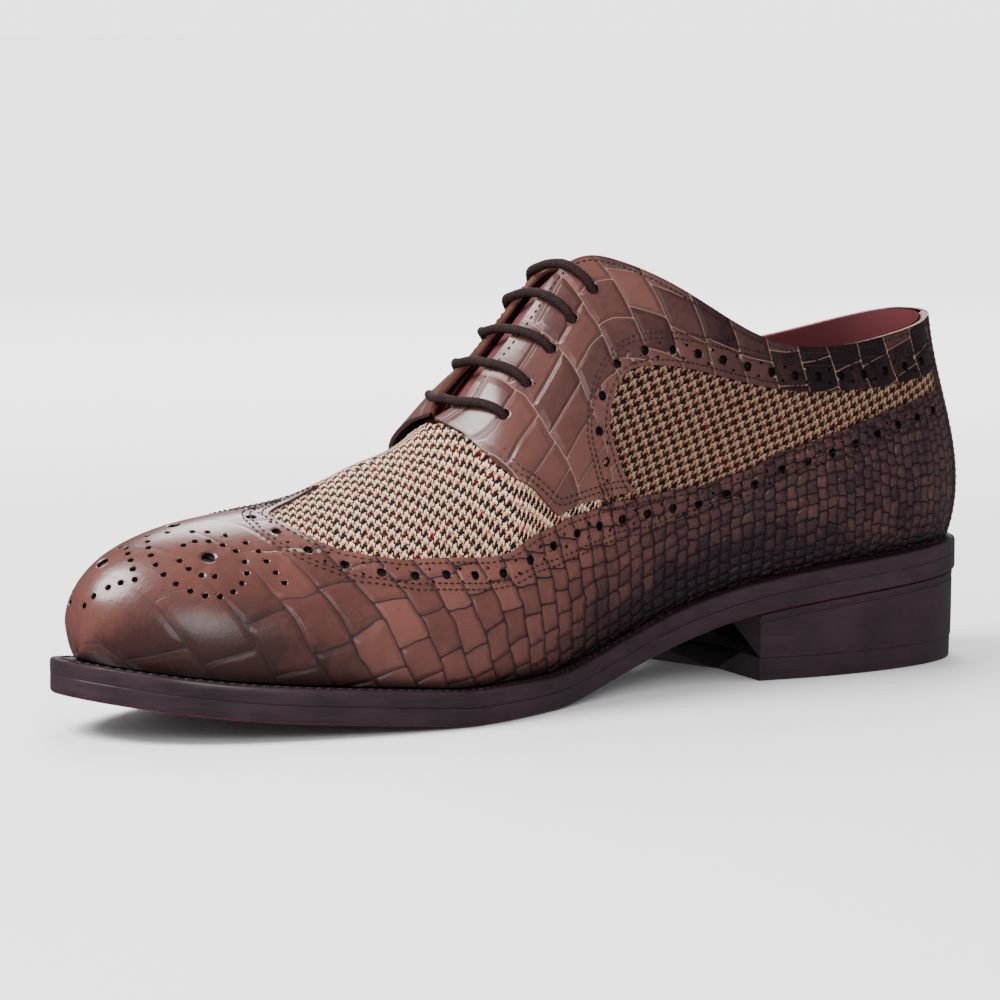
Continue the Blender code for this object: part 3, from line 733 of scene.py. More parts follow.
class Finish:
    """A material and short calls that add its nodes."""

    def __init__(self, name):
        self.material = bpy.data.materials.new(name)
        self.material.use_nodes = True
        self.tree = self.material.node_tree
        self.tree.nodes.clear()

    def node(self, kind, inputs=(), **settings):
        made = self.tree.nodes.new(kind)
        for key, value in settings.items():
            setattr(made, key, value)
        for key, value in dict(inputs).items():
            if isinstance(value, bpy.types.NodeSocket):
                self.tree.links.new(value, made.inputs[key])
            else:
                made.inputs[key].default_value = value
        return made

    def math(self, operation, first, second=0.0, clamp=False):
        return self.node("ShaderNodeMath", {0: first, 1: second}, operation=operation,
                         use_clamp=clamp).outputs[0]

    def add(self, first, second, clamp=False):
        return self.math("ADD", first, second, clamp)

    def sub(self, first, second):
        return self.math("SUBTRACT", first, second)

    def mul(self, first, second, clamp=False):
        return self.math("MULTIPLY", first, second, clamp)

    def below(self, number, repeat, limit):
        """1 where a number within its repeat is below a limit."""
        return self.math("LESS_THAN", self.math("FLOORED_MODULO", number, repeat), limit)

    def random(self, first, second):
        """The same random value for the same pair of numbers."""
        pair = self.node("ShaderNodeCombineXYZ", {0: first, 1: second}).outputs[0]
        return self.node("ShaderNodeTexWhiteNoise", {"Vector": pair}, noise_dimensions="2D").outputs["Value"]

    def ease(self, value, low, high, to_low=0.0, to_high=1.0):
        """Smooth step of a value."""
        ends = {"Value": value, "From Min": low, "From Max": high, "To Min": to_low, "To Max": to_high}
        return self.node("ShaderNodeMapRange", ends, interpolation_type="SMOOTHSTEP").outputs[0]

    def mix(self, share, first, second, blend="MIX"):
        made = self.node("ShaderNodeMix", {0: share, 6: first, 7: second}, data_type="RGBA", blend_type=blend)
        return made.outputs[2]

    def attribute(self, name):
        return self.node("ShaderNodeAttribute", attribute_name=name).outputs["Vector"]

    def split(self, vector):
        return self.node("ShaderNodeSeparateXYZ", {0: vector}).outputs

    def place(self):
        return self.node("ShaderNodeTexCoord").outputs["Object"]

    def noise(self, vector, scale, detail=3.0, rough=0.55):
        return self.node("ShaderNodeTexNoise", {"Vector": vector, "Scale": scale, "Detail": detail,
                                                "Roughness": rough}).outputs[0]

    def bump(self, height, distance, strength):
        return self.node("ShaderNodeBump", {"Height": height, "Distance": distance * MM,
                                            "Strength": strength}).outputs[0]

    def shade(self, **values):
        """Surface shader; the names are the shader's sockets with _ for a space."""
        inputs = {key.replace("_", " "): value for key, value in values.items()}
        shader = self.node("ShaderNodeBsdfPrincipled", inputs)
        output = self.node("ShaderNodeOutputMaterial")
        self.tree.links.new(shader.outputs[0], output.inputs[0])
        return self.material


# Colours that only one finish uses
FRONT_BURNISH = (0.034, 0.0115, 0.010, 1)
REAR_GROOVE = (0.005, 0.003, 0.006, 1)
# Painted shade: darkens the wing in the crease above the welt and low at the waist; on the facing it darkens
# the top edge
SHADE_AND_EDGE_DARK = (0.008, 0.004, 0.0035, 1)
YARN_SHADE = (0.1, 0.07, 0.05, 1)
# Painted shade in the gaps between yarns
YARN_GAP_SHADE = (0.02, 0.012, 0.01, 1)
# Painted shade on the quarter cloth, which gets less light than the vamp
QUARTER_PAINTED_SHADE = (0.34, 0.28, 0.26, 1)


def rgb(colour):
    """Colour with its opacity."""
    return (*colour[:3], 1.0)


def cells(f, u, v, bend):
    """Distances from the middle of a staggered cell, 0 to 1 both ways, and the cell's random value."""
    flat = f.node("ShaderNodeCombineXYZ", {0: u, 1: v}).outputs[0]
    wander = f.node("ShaderNodeTexNoise", {"Vector": flat, "Scale": 0.75, "Detail": 2.0}).outputs["Color"]
    wander = f.node("ShaderNodeSeparateColor", {0: wander}).outputs
    u = f.add(u, f.mul(f.sub(wander[0], 0.5), bend))
    v = f.add(v, f.mul(f.sub(wander[1], 0.5), bend))
    band = f.math("FLOOR", u)
    v = f.add(v, f.node("ShaderNodeTexWhiteNoise", {"W": band}, noise_dimensions="1D").outputs["Value"])
    across, along_cell = (f.math("ABSOLUTE", f.sub(f.mul(f.math("FRACT", way), 2.0), 1.0)) for way in (u, v))
    return across, along_cell, f.random(band, f.math("FLOOR", v))


def embossed_leather(name, light, dark, groove, width, shape, bend, contrast, coat, warm_front=False):
    """Scaled leather on the pattern attribute; the tone attribute gives burnish, dirt and how loose the
    cells are: loose cells are rounder, with wider and darker grooves."""
    f = Finish(name)
    u, v, strength = f.split(f.attribute("pattern"))
    burnish_and_shade, shade_and_edge_dark, loose = f.split(f.attribute("tone"))
    across, along_cell, which = cells(f, u, v, f.mul(loose, bend))
    corner = f.math("DIVIDE", shape, loose)
    reach = f.add(f.math("POWER", across, corner), f.math("POWER", along_cell, corner))
    reach = f.math("POWER", reach, f.math("DIVIDE", 1.0, corner))
    edge = f.math("DIVIDE", f.mul(f.sub(1.0, reach), 0.5), loose)
    line = f.mul(f.ease(edge, width * 0.1, width, 1.0, 0.0), strength)
    dome = f.mul(f.ease(edge, 0.0, 0.14), strength)
    where = f.place()
    cloud = f.noise(where, 55.0, 4.0)
    grain = f.noise(where, 1500.0, 3.0)
    speck = f.noise(where, 420.0, 4.0, 0.7)
    drawn = {"Vector": where, "Rotation": (0.5, 0.2, 0.9), "Scale": (1.0, 5.0, 1.0)}
    streak = f.noise(f.node("ShaderNodeMapping", drawn).outputs[0], 260.0, 3.0)
    varied = f.math("DIVIDE", f.mul(strength, contrast), f.math("POWER", loose, 1.1))
    shade = f.add(burnish_and_shade, f.mul(f.sub(which, 0.5), varied))
    for noise, weight, last in ((cloud, 0.7, False), (streak, 0.3, False), (speck, 0.35, True)):
        shade = f.add(shade, f.mul(f.sub(noise, 0.5), weight), clamp=last)
    rear = f.ease(loose, 1.1, 2.3)
    deep = f.mix(rear, FRONT_BURNISH, rgb(dark)) if warm_front else rgb(dark)
    colour = f.mix(shade, rgb(light), deep)
    colour = f.mix(f.mul(line, 0.92), colour, f.mix(rear, rgb(groove), REAR_GROOVE))
    # Painted shade laid over the colour where the tone attribute's second value is high
    colour = f.mix(f.mul(shade_and_edge_dark, 0.85, clamp=True), colour, SHADE_AND_EDGE_DARK)
    height = f.sub(f.add(dome, f.mul(grain, 0.07)), f.mul(line, f.mul(loose, 0.5)))
    height = f.add(f.add(height, f.mul(speck, 0.12)), f.mul(streak, 0.1))
    rough = f.add(f.add(f.mul(cloud, 0.16), 0.22), f.mul(line, 0.2))
    return f.shade(Base_Color=colour, Roughness=rough, Normal=f.bump(height, 0.65, 0.9), Coat_Weight=coat,
                   Coat_Roughness=0.24, Specular_IOR_Level=0.35)


def plain_leather(name, light, dark, roughness, coat, grain=0.12):
    """Smooth leather with pores and soft cloudiness."""
    f = Finish(name)
    where = f.place()
    cloud = f.noise(where, 45.0, 4.0)
    pores = f.noise(where, 1300.0, 3.0)
    colour = f.mix(f.ease(cloud, 0.3, 0.7), rgb(light), rgb(dark))
    rough = f.add(f.mul(cloud, 0.15), roughness - 0.07)
    return f.shade(Base_Color=colour, Roughness=rough, Normal=f.bump(pores, grain, 0.7), Coat_Weight=coat,
                   Coat_Roughness=0.12)


def checked_cloth(name, cream, black, tan, red):
    """Wool twill woven in a small broken check with red flecks; the pattern attribute is in millimetres."""
    f = Finish(name)
    where = f.attribute("pattern")
    wobble = f.node("ShaderNodeTexNoise", {"Vector": where, "Scale": 0.3, "Detail": 2.0}).outputs["Color"]
    wobble = f.node("ShaderNodeVectorMath", {0: wobble, 1: (0.5, 0.5, 0.5)}, operation="SUBTRACT").outputs[0]
    wobble = f.node("ShaderNodeVectorMath", {0: wobble, "Scale": 0.9}, operation="SCALE").outputs[0]
    where = f.node("ShaderNodeVectorMath", {0: where, 1: wobble}, operation="ADD").outputs[0]
    u, v = f.split(where)[:2]
    warp = f.math("DIVIDE", u, WARP_THREAD)
    weft = f.math("DIVIDE", v, WEFT_THREAD)
    warp_number = f.math("FLOOR", warp)
    weft_number = f.math("FLOOR", weft)
    over = f.below(f.sub(warp_number, weft_number), 4.0, 2.0)
    warp_dark = f.below(warp_number, THREADS, DARK_THREADS)
    weft_dark = f.below(weft_number, THREADS, DARK_THREADS)
    warp_tan = f.math("GREATER_THAN", f.math("FLOORED_MODULO", warp_number, THREADS), 5.5)
    lot = f.random(warp_number, f.math("FLOOR", f.math("DIVIDE", weft, 5.0)))
    flecks = f.math("GREATER_THAN", lot, 0.90)
    shade = f.random(warp_number, weft_number)
    dark = f.mix(over, f.mix(weft_dark, rgb(cream), rgb(black)), f.mix(warp_dark, rgb(cream), rgb(black)))
    weft_tan = f.math("GREATER_THAN", f.math("FLOORED_MODULO", weft_number, THREADS), 6.5)
    dark = f.mix(f.mul(weft_tan, f.sub(1.0, over)), dark, rgb(tan))
    pale = f.mix(warp_tan, dark, rgb(tan))
    colour = f.mix(f.mul(over, 0.9), dark, pale)
    colour = f.mix(f.mul(flecks, f.mul(over, 0.9)), colour, rgb(red))
    colour = f.mix(f.mul(shade, 0.3), colour, YARN_SHADE, "MULTIPLY")
    # Painted shade: the quarter cloth, marked in the tone attribute, is darkened
    quarter_shade = f.split(f.attribute("tone"))[0]
    colour = f.mix(quarter_shade, colour, QUARTER_PAINTED_SHADE, "MULTIPLY")
    across_warp, across_weft = (f.math("ABSOLUTE", f.sub(f.math("FRACT", thread), 0.5))
                                for thread in (warp, weft))
    across = f.add(f.mul(over, across_warp), f.mul(f.sub(1.0, over), across_weft))
    gap = f.ease(across, 0.32, 0.5)
    # Painted shade at the edges of the yarns, where they part
    colour = f.mix(f.mul(gap, 0.3), colour, YARN_GAP_SHADE)
    fuzz = f.noise(f.place(), 2600.0, 3.0, 0.7)
    height = f.add(f.sub(1.0, gap), f.mul(fuzz, 0.6))
    return f.shade(Base_Color=colour, Roughness=0.92, Normal=f.bump(height, 0.2, 0.9), Sheen_Weight=0.04,
                   Sheen_Roughness=0.5, Specular_IOR_Level=0.08)


def edge_leather(name, light, dark, roughness, coat):
    """Pressed and waxed leather edge: fine lines along the layers."""
    f = Finish(name)
    where = f.node("ShaderNodeMapping", {"Vector": f.place(), "Scale": (1.0, 1.0, 14.0)}).outputs[0]
    layers = f.noise(where, 90.0, 4.0, 0.6)
    cloud = f.noise(f.place(), 70.0, 3.0)
    colour = f.mix(f.ease(f.add(f.mul(layers, 0.45), f.mul(cloud, 0.55)), 0.2, 0.8), rgb(dark), rgb(light))
    rough = f.add(f.mul(layers, 0.18), roughness - 0.09)
    return f.shade(Base_Color=colour, Roughness=rough, Normal=f.bump(layers, 0.05, 0.4), Coat_Weight=coat,
                   Coat_Roughness=0.25)


def twisted_thread(name, light, dark, pitch):
    """Waxed thread with a fine twist."""
    f = Finish(name)
    where = f.node("ShaderNodeMapping", {"Vector": f.place(), "Rotation": (0.4, 0.6, 0.5)}).outputs[0]
    twist = f.node("ShaderNodeTexWave", {"Vector": where, "Scale": pitch, "Distortion": 1.5, "Detail": 2.0},
                   wave_type="BANDS").outputs[0]
    worn = f.noise(f.place(), 500.0, 3.0)
    colour = f.mix(f.ease(f.add(f.mul(twist, 0.5), f.mul(worn, 0.5)), 0.25, 0.75), rgb(dark), rgb(light))
    return f.shade(Base_Color=colour, Roughness=0.6, Normal=f.bump(twist, 0.12, 0.7))


def woven_lace(name, light, dark):
    """Waxed round lace: a braid of two sets of yarns, from the pattern attribute (turns, millimetres)."""
    f = Finish(name)
    around, run = f.split(f.attribute("pattern"))[:2]
    one, two = (f.math("SINE", f.mul(way(f.mul(around, 6.0), f.mul(run, 0.9)), 2 * math.pi))
                for way in (f.add, f.sub))
    yarn = f.math("MAXIMUM", one, two)
    worn = f.noise(f.place(), 700.0, 3.0)
    colour = f.mix(f.ease(f.add(f.mul(yarn, 0.35), worn), 0.3, 1.0), rgb(dark), rgb(light))
    return f.shade(Base_Color=colour, Roughness=0.75, Normal=f.bump(f.add(yarn, worn), 0.06, 0.8),
                   Specular_IOR_Level=0.12)


def brass_finish(name, colour):
    """Brass pin heads, slightly dulled."""
    f = Finish(name)
    worn = f.noise(f.place(), 900.0, 3.0)
    return f.shade(Base_Color=f.mix(f.ease(worn, 0.3, 0.7), rgb(colour), (0.35, 0.2, 0.07, 1)), Metallic=1.0,
                   Roughness=f.add(f.mul(worn, 0.2), 0.2), Normal=f.bump(worn, 0.05, 0.4))


def floor_finish(name, colour):
    """Pale floor with a trace of mottling."""
    f = Finish(name)
    cloud = f.noise(f.place(), 6.0, 4.0)
    away = f.node("ShaderNodeVectorMath", {0: f.place()}, operation="LENGTH").outputs["Value"]
    # Painted light: emission that brightens the floor away from the shoe and leaves it unlit close to it
    glow = f.mul(f.ease(away, 0.12, 1.6), 1.9)
    return f.shade(Base_Color=f.mix(f.mul(cloud, 0.12), rgb(colour), (0.6, 0.6, 0.62, 1)), Roughness=0.6,
                   Emission_Color=(1.0, 0.99, 1.0, 1.0), Emission_Strength=glow)


# ---- patterns on the panels ----

def scale_value(name, s):
    """A column of the table of scales at a distance from the heel."""
    return np.interp(s, [row.s for row in SCALES], [getattr(row, name) for row in SCALES])


@functools.lru_cache(maxsize=None)
def scale_run(weight=None):
    """Scales counted from the heel to each millimetre, or that count weighted by a column."""
    stations = np.arange(0, LENGTH + 1)
    share = scale_value(weight, stations) if weight else 1.0
    return stations, np.cumsum(share / scale_value("size", stations))


def below_top(rib, share, side):
    """Distance along the rib from its top."""
    rows = rib_rows(rib, side)
    return rows[..., -1] - height_at(rib, share, side)


def wing_marks(rib, share, side):
    """Scale pattern, burnish and dirt of the wing."""
    s = along(rib)
    up = height_at(rib, share, side)
    size, strength, burnish_and_shade, lean = (scale_value(name, s) for name in SCALES[0]._fields[1:])
    size = size * (0.66 + 0.34 * np.clip(up / 18, 0, 1))
    crown = np.clip((s - 238) / 22, 0, 1) * np.clip((share - 0.3) / 0.3, 0, 1)
    strength = strength * (1 - 0.85 * crown) * np.where(s > 225, np.clip((1.0 - share) / 0.12, 0, 1), 1)
    burnish_and_shade = burnish_and_shade + 0.35 * np.exp(-up / 6)
    burnish_and_shade = burnish_and_shade + 0.35 * np.exp(-(((s - 262) / 30) ** 2 + ((share - 0.2) / 0.16) ** 2)) - 0.25 * crown
    # Painted shade: darker low at the waist, which lies in shade
    burnish_and_shade = burnish_and_shade + 0.4 * np.exp(-((s - 130) / 45) ** 2) * np.clip(1.3 - up / 24, 0, 1)
    burnish_and_shade = burnish_and_shade + 0.3 * np.clip((s - 228) / 30, 0, 1)
    # Painted shade in the crease above the welt and low at the waist
    shade_and_edge_dark = np.exp(-(up / 2.2) ** 2) + 0.25 * np.exp(-((s - 130) / 40) ** 2) * np.clip(1 - up / 14, 0, 1)
    loose = np.interp(s, (0, 110, 170, 215), (2.6, 2.3, 1.6, 1.0))
    run = np.interp(s, *scale_run())
    cross = np.interp(s, *scale_run("lean"))
    return np.stack((run - lean * up / size, up / size + cross, strength, burnish_and_shade, shade_and_edge_dark, loose), -1)


def facing_marks(rib, share, side):
    """Large tiles that follow the facing's edge, smaller towards the heel."""
    s = along(rib)
    down = below_top(rib, share, side)
    tile = np.interp(s, (0, 60, 120, 150, 184), (8, 9.5, 11.5, 12.5, 12))
    # Burnish, with painted shade that darkens the collar towards the heel
    burnish_and_shade = np.interp(s, (0, 60, 95, 125, 150, 184), (1.0, 0.95, 0.8, 0.35, 0.2, 0.15))
    # Darker band along the facing's top edge; the top edges to fold are picked by it
    shade_and_edge_dark = 0.6 * np.exp(-(down / 0.7) ** 2)
    full = np.ones_like(s)
    return np.stack((s / 12.5 + 0.022 * down, down / tile + 0.2 - s / 60, full, burnish_and_shade, shade_and_edge_dark, full), -1)


def cloth_marks(rib, share, side):
    """Cloth coordinates in millimetres, turned to the slant at which the cloth was cut."""
    s = along(rib)
    point = surface(rib, share, side)
    vamp = s.max() > 200
    across = below_top(rib, share, side) * side if vamp else 150 - point[..., 2]
    slant = math.radians(VAMP_SLANT if vamp else QUARTER_SLANT)
    u = point[..., 0] * math.cos(slant) + across * math.sin(slant)
    v = across * math.cos(slant) - point[..., 0] * math.sin(slant)
    zero = np.zeros_like(s)
    # Painted shade: 1 on the quarter cloth, which the finish darkens
    quarter_shade = zero if vamp else np.ones_like(s)
    return np.stack((u + 200, v + 400, zero, quarter_shade, zero, zero), -1)


def plain_marks(rib, share, side):
    """No pattern and no tone, for panels whose finish needs neither."""
    return np.zeros((*np.shape(along(rib)), 6))


def constant(value):
    """A line at one share."""
    return lambda rib: np.full(np.shape(rib), float(value))


def line(table):
    """A drawn line as a function of the rib."""
    return lambda rib: by_line(table, rib)


def flat_path(spots, side):
    """A path of (s, share) points as finely spaced flat points (s, h)."""
    s = np.array([spot.s for spot in spots], float)
    share = np.array([spot.share for spot in spots], float)
    size = np.concatenate(([0], np.cumsum(np.hypot(np.diff(s), np.diff(share) * 80))))
    at = np.linspace(0, size[-1], int(size[-1] / PATH_STEP) + 2)
    s, share = (eased(np.interp(at, size, value), 3) for value in (s, share))
    return np.stack((s, height_at(turn(s), share, side)), -1)


def hole_rows(path, side, lift):
    """Brogue holes along a flat path: a big hole, then a pair of small ones, and so on."""
    big = even(path, sizes().hole_step / MM)
    half = (big[1:] + big[:-1]) / 2
    way = flat_step(path, half) if len(half) else half
    aside = np.stack((-way[:, 1], way[:, 0]), -1)
    small = np.concatenate((half + aside * PAIR_HALF, half - aside * PAIR_HALF))
    holes = []
    for spots, radius in ((big, sizes().big_hole), (small, sizes().small_hole)):
        points, out = on_upper(spots, side, lift)
        holes += [(point, up, radius) for point, up in zip(points, out)]
    return holes


def width_share(rib, side, half_width):
    """Share of a rib, in its upper part, that stands a half width from the centre line."""
    shares = np.linspace(0.55, 1.0, 300)
    across = surface(np.full(300, float(rib)), shares, side)[:, 1]
    return float(np.interp(half_width, across[::-1], shares[::-1]))


# ---- pieces ----

def leather_stack(*names):
    """Materials of a piece by name, in slot order."""
    return [bpy.data.materials[name] for name in names]


def make_wing():
    """Long wing with its punched strip and the toe, in one mesh over both sides, and its stitching."""
    behind = columns(STAY_RIB, 222, REAR_PITCH)
    peak = columns(222, VALLEY, FRONT_PITCH)
    ahead = columns(VALLEY, 305, FRONT_PITCH)
    foot, edge_line, ridge = constant(0), line(WING_EDGE), constant(1)
    mesh = sew([upper_patch(ribs, rows, side, low, high, WING_LIFT, wing_marks)
                for side in SIDES
                for ribs, rows, low, high in (
                    (behind, WING_ROWS, foot, edge_line), (peak, WING_ROWS, foot, edge_line),
                    (ahead, WING_ROWS, foot, edge_line), (ahead, PEAK_ROWS, edge_line, ridge),
                    (peak, PEAK_ROWS, line(PEAK_EDGE), ridge))])
    holes = []
    for side in SIDES:
        holes += hole_rows(beside(flat_path(WING_RIM, side), WING_HOLES), side, WING_LIFT)
        toe = np.array([(spot.s, height_at(turn(spot.s), spot.share, side)) for spot in TOE_HOLES])
        points, out = on_upper(toe, side, WING_LIFT)
        holes += [(point, up, sizes().toe_hole) for point, up in zip(points, out)]
        holes.append((*skin(turn(TOE_SIDE_HOLE.s), TOE_SIDE_HOLE.share, side, WING_LIFT),
                      sizes().big_hole * 1.35))
    for spot in TOE_BIG_HOLES:
        holes.append((*skin(turn(spot.s), spot.share, MEDIAL, WING_LIFT), sizes().big_hole * 1.25))
    edges = [edge for edge in mesh.edges if edge.is_boundary]
    # Slot 2 is the painted shade inside the holes
    punch(mesh, holes, 1.0 * MM, 2)
    edge_wall(mesh, sizes().leather, 1, [edge for edge in edges if edge.is_valid])
    finish_piece("wing", mesh, leather_stack("wing_leather", "stay_leather", "hole_dark"),
                 replaces=("upper",))
    rows = []
    for side in SIDES:
        rim, low = flat_path(WING_RIM, side), flat_path(WING_STITCH, side)
        rows.append(stitches([beside(rim, -1.6), low, beside(low, -1.8)], side, *WING_STITCHES))
    finish_piece("wing_stitching", join_meshes(rows), leather_stack("thread_dark"))


def join_meshes(meshes):
    """One bmesh from several."""
    joined = bmesh.new()
    for part in meshes:
        data = bpy.data.meshes.new("part")
        part.to_mesh(data)
        part.free()
        joined.from_mesh(data)
        bpy.data.meshes.remove(data)
    return joined


def make_cloth():
    """Checked cloth under the windows: one vamp over both sides, and a quarter on each side."""
    def foot(rib):
        return by_line(WING_EDGE, rib) - 0.03

    def vamp_top(rib):
        covered = np.minimum(by_line(FACING_EDGE, rib) + 0.04, 0.97)
        return np.where(along(rib) > THROAT - 0.1, 1.0, covered)

    def quarter_top(rib):
        return np.minimum(by_line(FACING_EDGE, rib) + 0.03, 0.98)

    front, back = columns(*VAMP_CLOTH, CLOTH_PITCH), columns(*QUARTER_CLOTH, CLOTH_PITCH)
    mesh = sew([upper_patch(front, 40, side, foot, vamp_top, CLOTH_LIFT, cloth_marks) for side in SIDES])
    finish_piece("vamp_cloth", mesh, leather_stack("checked_cloth"), replaces=("upper",))
    for side in SIDES:
        mesh = sew([upper_patch(back, 30, side, foot, quarter_top, CLOTH_LIFT - 0.05, cloth_marks)])
        finish_piece(f"quarter_cloth_{side_name(side)}", mesh, leather_stack("checked_cloth"),
                     replaces=("upper",))


def make_facings():
    """Collar and facing on each side, with lace holes, punched strip, cut edges and stitching."""
    behind, over = columns(STAY_RIB, 145, REAR_PITCH), columns(145, 166, FACING_PITCH)
    front, tail = columns(166, 184, FACING_PITCH), columns(135, 145, FACING_PITCH)
    edge_line, top_line = line(FACING_EDGE), constant(1)
    for side in SIDES:
        def lift(rib, share, side=side):
            raised = (along(rib) - RAISED[0]) / (RAISED[1] - RAISED[0])
            return FACING_LIFT + np.clip(raised, 0, 1) * np.clip((share - 0.5) / 0.2, 0, 1) * RAISE[side]

        mesh = sew([upper_patch(ribs, rows, side, low, high, lift, facing_marks)
                    for ribs, rows, low, high in (
                        (behind, FACING_ROWS, edge_line, top_line), (over, FACING_ROWS, edge_line, top_line),
                        (front, FACING_ROWS, edge_line, top_line),
                        (tail, TAIL_ROWS, line(TAIL_FOOT), line(TAIL_TOP)),
                        (over, TAIL_ROWS, line(TAIL_FOOT), line(TAIL_TOP)))])
        edges = [edge for edge in mesh.edges if edge.is_boundary]
        rim = flat_path(WINDOW_RIM, side)
        holes = []
        for eyelet in EYELETS:
            rib = turn(eyelet.rib)
            share = width_share(rib, side, getattr(eyelet, side_name(side)))
            holes.append((*skin(rib, share, side, float(lift(rib, np.array(share)))), sizes().lace_hole))
        # Slot 2 is the painted shade inside the holes
        punch(mesh, holes + hole_rows(beside(rim, FACING_HOLES), side, FACING_LIFT), 1.3 * MM, 2)
        tone = mesh.verts.layers.float_vector["tone"]
        edges = [edge for edge in edges if edge.is_valid]
        top = [edge for edge in edges if min(vert[tone][1] for vert in edge.verts) > 0.5]
        inner = edge_wall(mesh, 1.2 * MM, 1, top)
        edge_wall(mesh, 1.1 * MM, 3, inner)
        edge_wall(mesh, 1.2 * MM, 4, [edge for edge in edges if edge not in set(top)])
        materials = leather_stack("facing_leather", "cut_edge", "hole_dark", "lining_leather", "stay_leather")
        finish_piece(f"facing_{side_name(side)}", mesh, materials, replaces=("upper",))
        front_line, edge_row = flat_path(FACING_FRONT, side), flat_path(COLLAR_LINE, side)
        rows = [beside(rim, away) for away in (1.5, 7.4, 9.0)]
        rows += [beside(front_line, 1.5), beside(front_line, 3.2), beside(edge_row, -1.7)]
        finish_piece(f"facing_stitching_{side_name(side)}", stitches(rows, side, *FACING_STITCHES),
                     leather_stack("thread_dark"))


def make_backstay():
    """Strip down the back seam and its stitching."""
    ribs = np.linspace(0, turn(9.0), 12)
    mesh = sew([upper_patch(ribs, STAY_ROWS, side, constant(0), constant(1), STAY_LIFT, plain_marks)
                for side in SIDES])
    edge_wall(mesh, 1.4 * MM, 1, mesh.edges)
    finish_piece("backstay", mesh, leather_stack("stay_leather", "stay_leather"),
                 replaces=("upper",))
    rows = [stitches([flat_path(SEAM_LINE, side)], side, *SEAM_STITCH) for side in SIDES]
    finish_piece("backstay_stitching", join_meshes(rows), leather_stack("thread_dark"))


def make_lining():
    """Lining of the whole upper, seen inside the collar and the throat."""
    mesh = sew([upper_patch(ribs, 34, side, constant(0.02), constant(1), LINING_LIFT, plain_marks)
                for side in SIDES for ribs in (columns(0, 184, 2.2), columns(184, 305, 2.6))])
    bmesh.ops.reverse_faces(mesh, faces=mesh.faces)
    finish_piece("lining", mesh, leather_stack("lining_leather"), replaces=("upper",))


def lace_path(eyelet):
    """Path of one bar in metres: out of one eyelet, over the gap and down into the other."""
    ends = []
    for side in SIDES:
        share = width_share(turn(eyelet.rib), side, getattr(eyelet, side_name(side)))
        rib = turn(eyelet.rib)
        points = [skin(rib, share - 0.02, side, -2.4)[0], skin(rib, share - 0.008, side, -0.6)[0]]
        for step, lift in ((0.07, 1.1), (0.3, 1.75), (0.65, 1.8), (0.95, 1.9)):
            at = turn(eyelet.rib + LACE_SLANT * step)
            points.append(skin(at, share + (0.999 - share) * step, side, lift)[0])
        ends.append(points)
    medial, lateral = ends
    crown = (medial[-1] + lateral[-1]) / 2 + np.array((0, 0, 0.9 * MM))
    knots = np.array(medial + [crown] + lateral[::-1])
    run = run_along(knots)
    fine = np.linspace(0, run[-1], 70)
    return eased(np.stack([np.interp(fine, run, knots[:, axis]) for axis in range(3)], -1), 14)


def tube_mesh(path, radius, around):
    """Tube along a path, with turns and millimetres in its pattern attribute."""
    ahead = normed(np.gradient(path, axis=0))
    level = normed(np.cross(ahead, (1, 0.0, 0.3)))
    up = np.cross(level, ahead)
    run = run_along(path) / MM

    def spot(u, v):
        k = np.rint(v * (len(path) - 1)).astype(int)
        angle = 2 * math.pi * u
        out = np.cos(angle)[:, None] * level[k] + np.sin(angle)[:, None] * up[k]
        marks = np.zeros((len(u), 6))
        marks[:, 0] = u
        marks[:, 1] = run[k]
        return path[k] + out * radius * MM, out, marks
    return grid_mesh(around, len(path) - 1, spot)


def make_laces():
    """Five waxed bars of one lace, through the lace holes."""
    mesh = sew([tube_mesh(lace_path(eyelet), sizes().lace / MM, 16) for eyelet in EYELETS])
    bmesh.ops.holes_fill(mesh, edges=[edge for edge in mesh.edges if edge.is_boundary], sides=40)
    finish_piece("lace_bars", mesh, leather_stack("lace_weave"), replaces=("lace",))


def make_edge_ring(name, profile, material, node, under=None):
    """Closed body swept round the sole: profile rows are (inset, across, height over the underside)."""
    profile = np.array(profile, float)
    ribs = columns(0, 305, 1.6)
    ribs[0], ribs[-1] = 0.0, 1.0

    def spot_for(side):
        def spot(u, v):
            rib = ribs[np.rint(u * (len(ribs) - 1)).astype(int)]
            inset, across, up = profile[np.rint(v * (len(profile) - 1)).astype(int)].T
            s, t, out_s, out_t = sole_edge(rib, side, inset)
            out = np.stack((-out_s, -side * out_t, np.zeros(len(u))), -1)
            return place(s, t * across, underside(s) + up, side), out, np.zeros((len(u), 6))
        return spot

    mesh = sew([grid_mesh(len(ribs) - 1, len(profile) - 1, spot_for(side)) for side in SIDES])
    bmesh.ops.recalc_face_normals(mesh, faces=mesh.faces)
    paint_under(mesh)
    materials = leather_stack(material, under or material)
    return finish_piece(name, mesh, materials, sharp=40, replaces=(node,))


def paint_under(mesh):
    """Second material on the faces that look down."""
    for face in mesh.faces:
        if face.normal.z < -0.6:
            face.material_index = 1


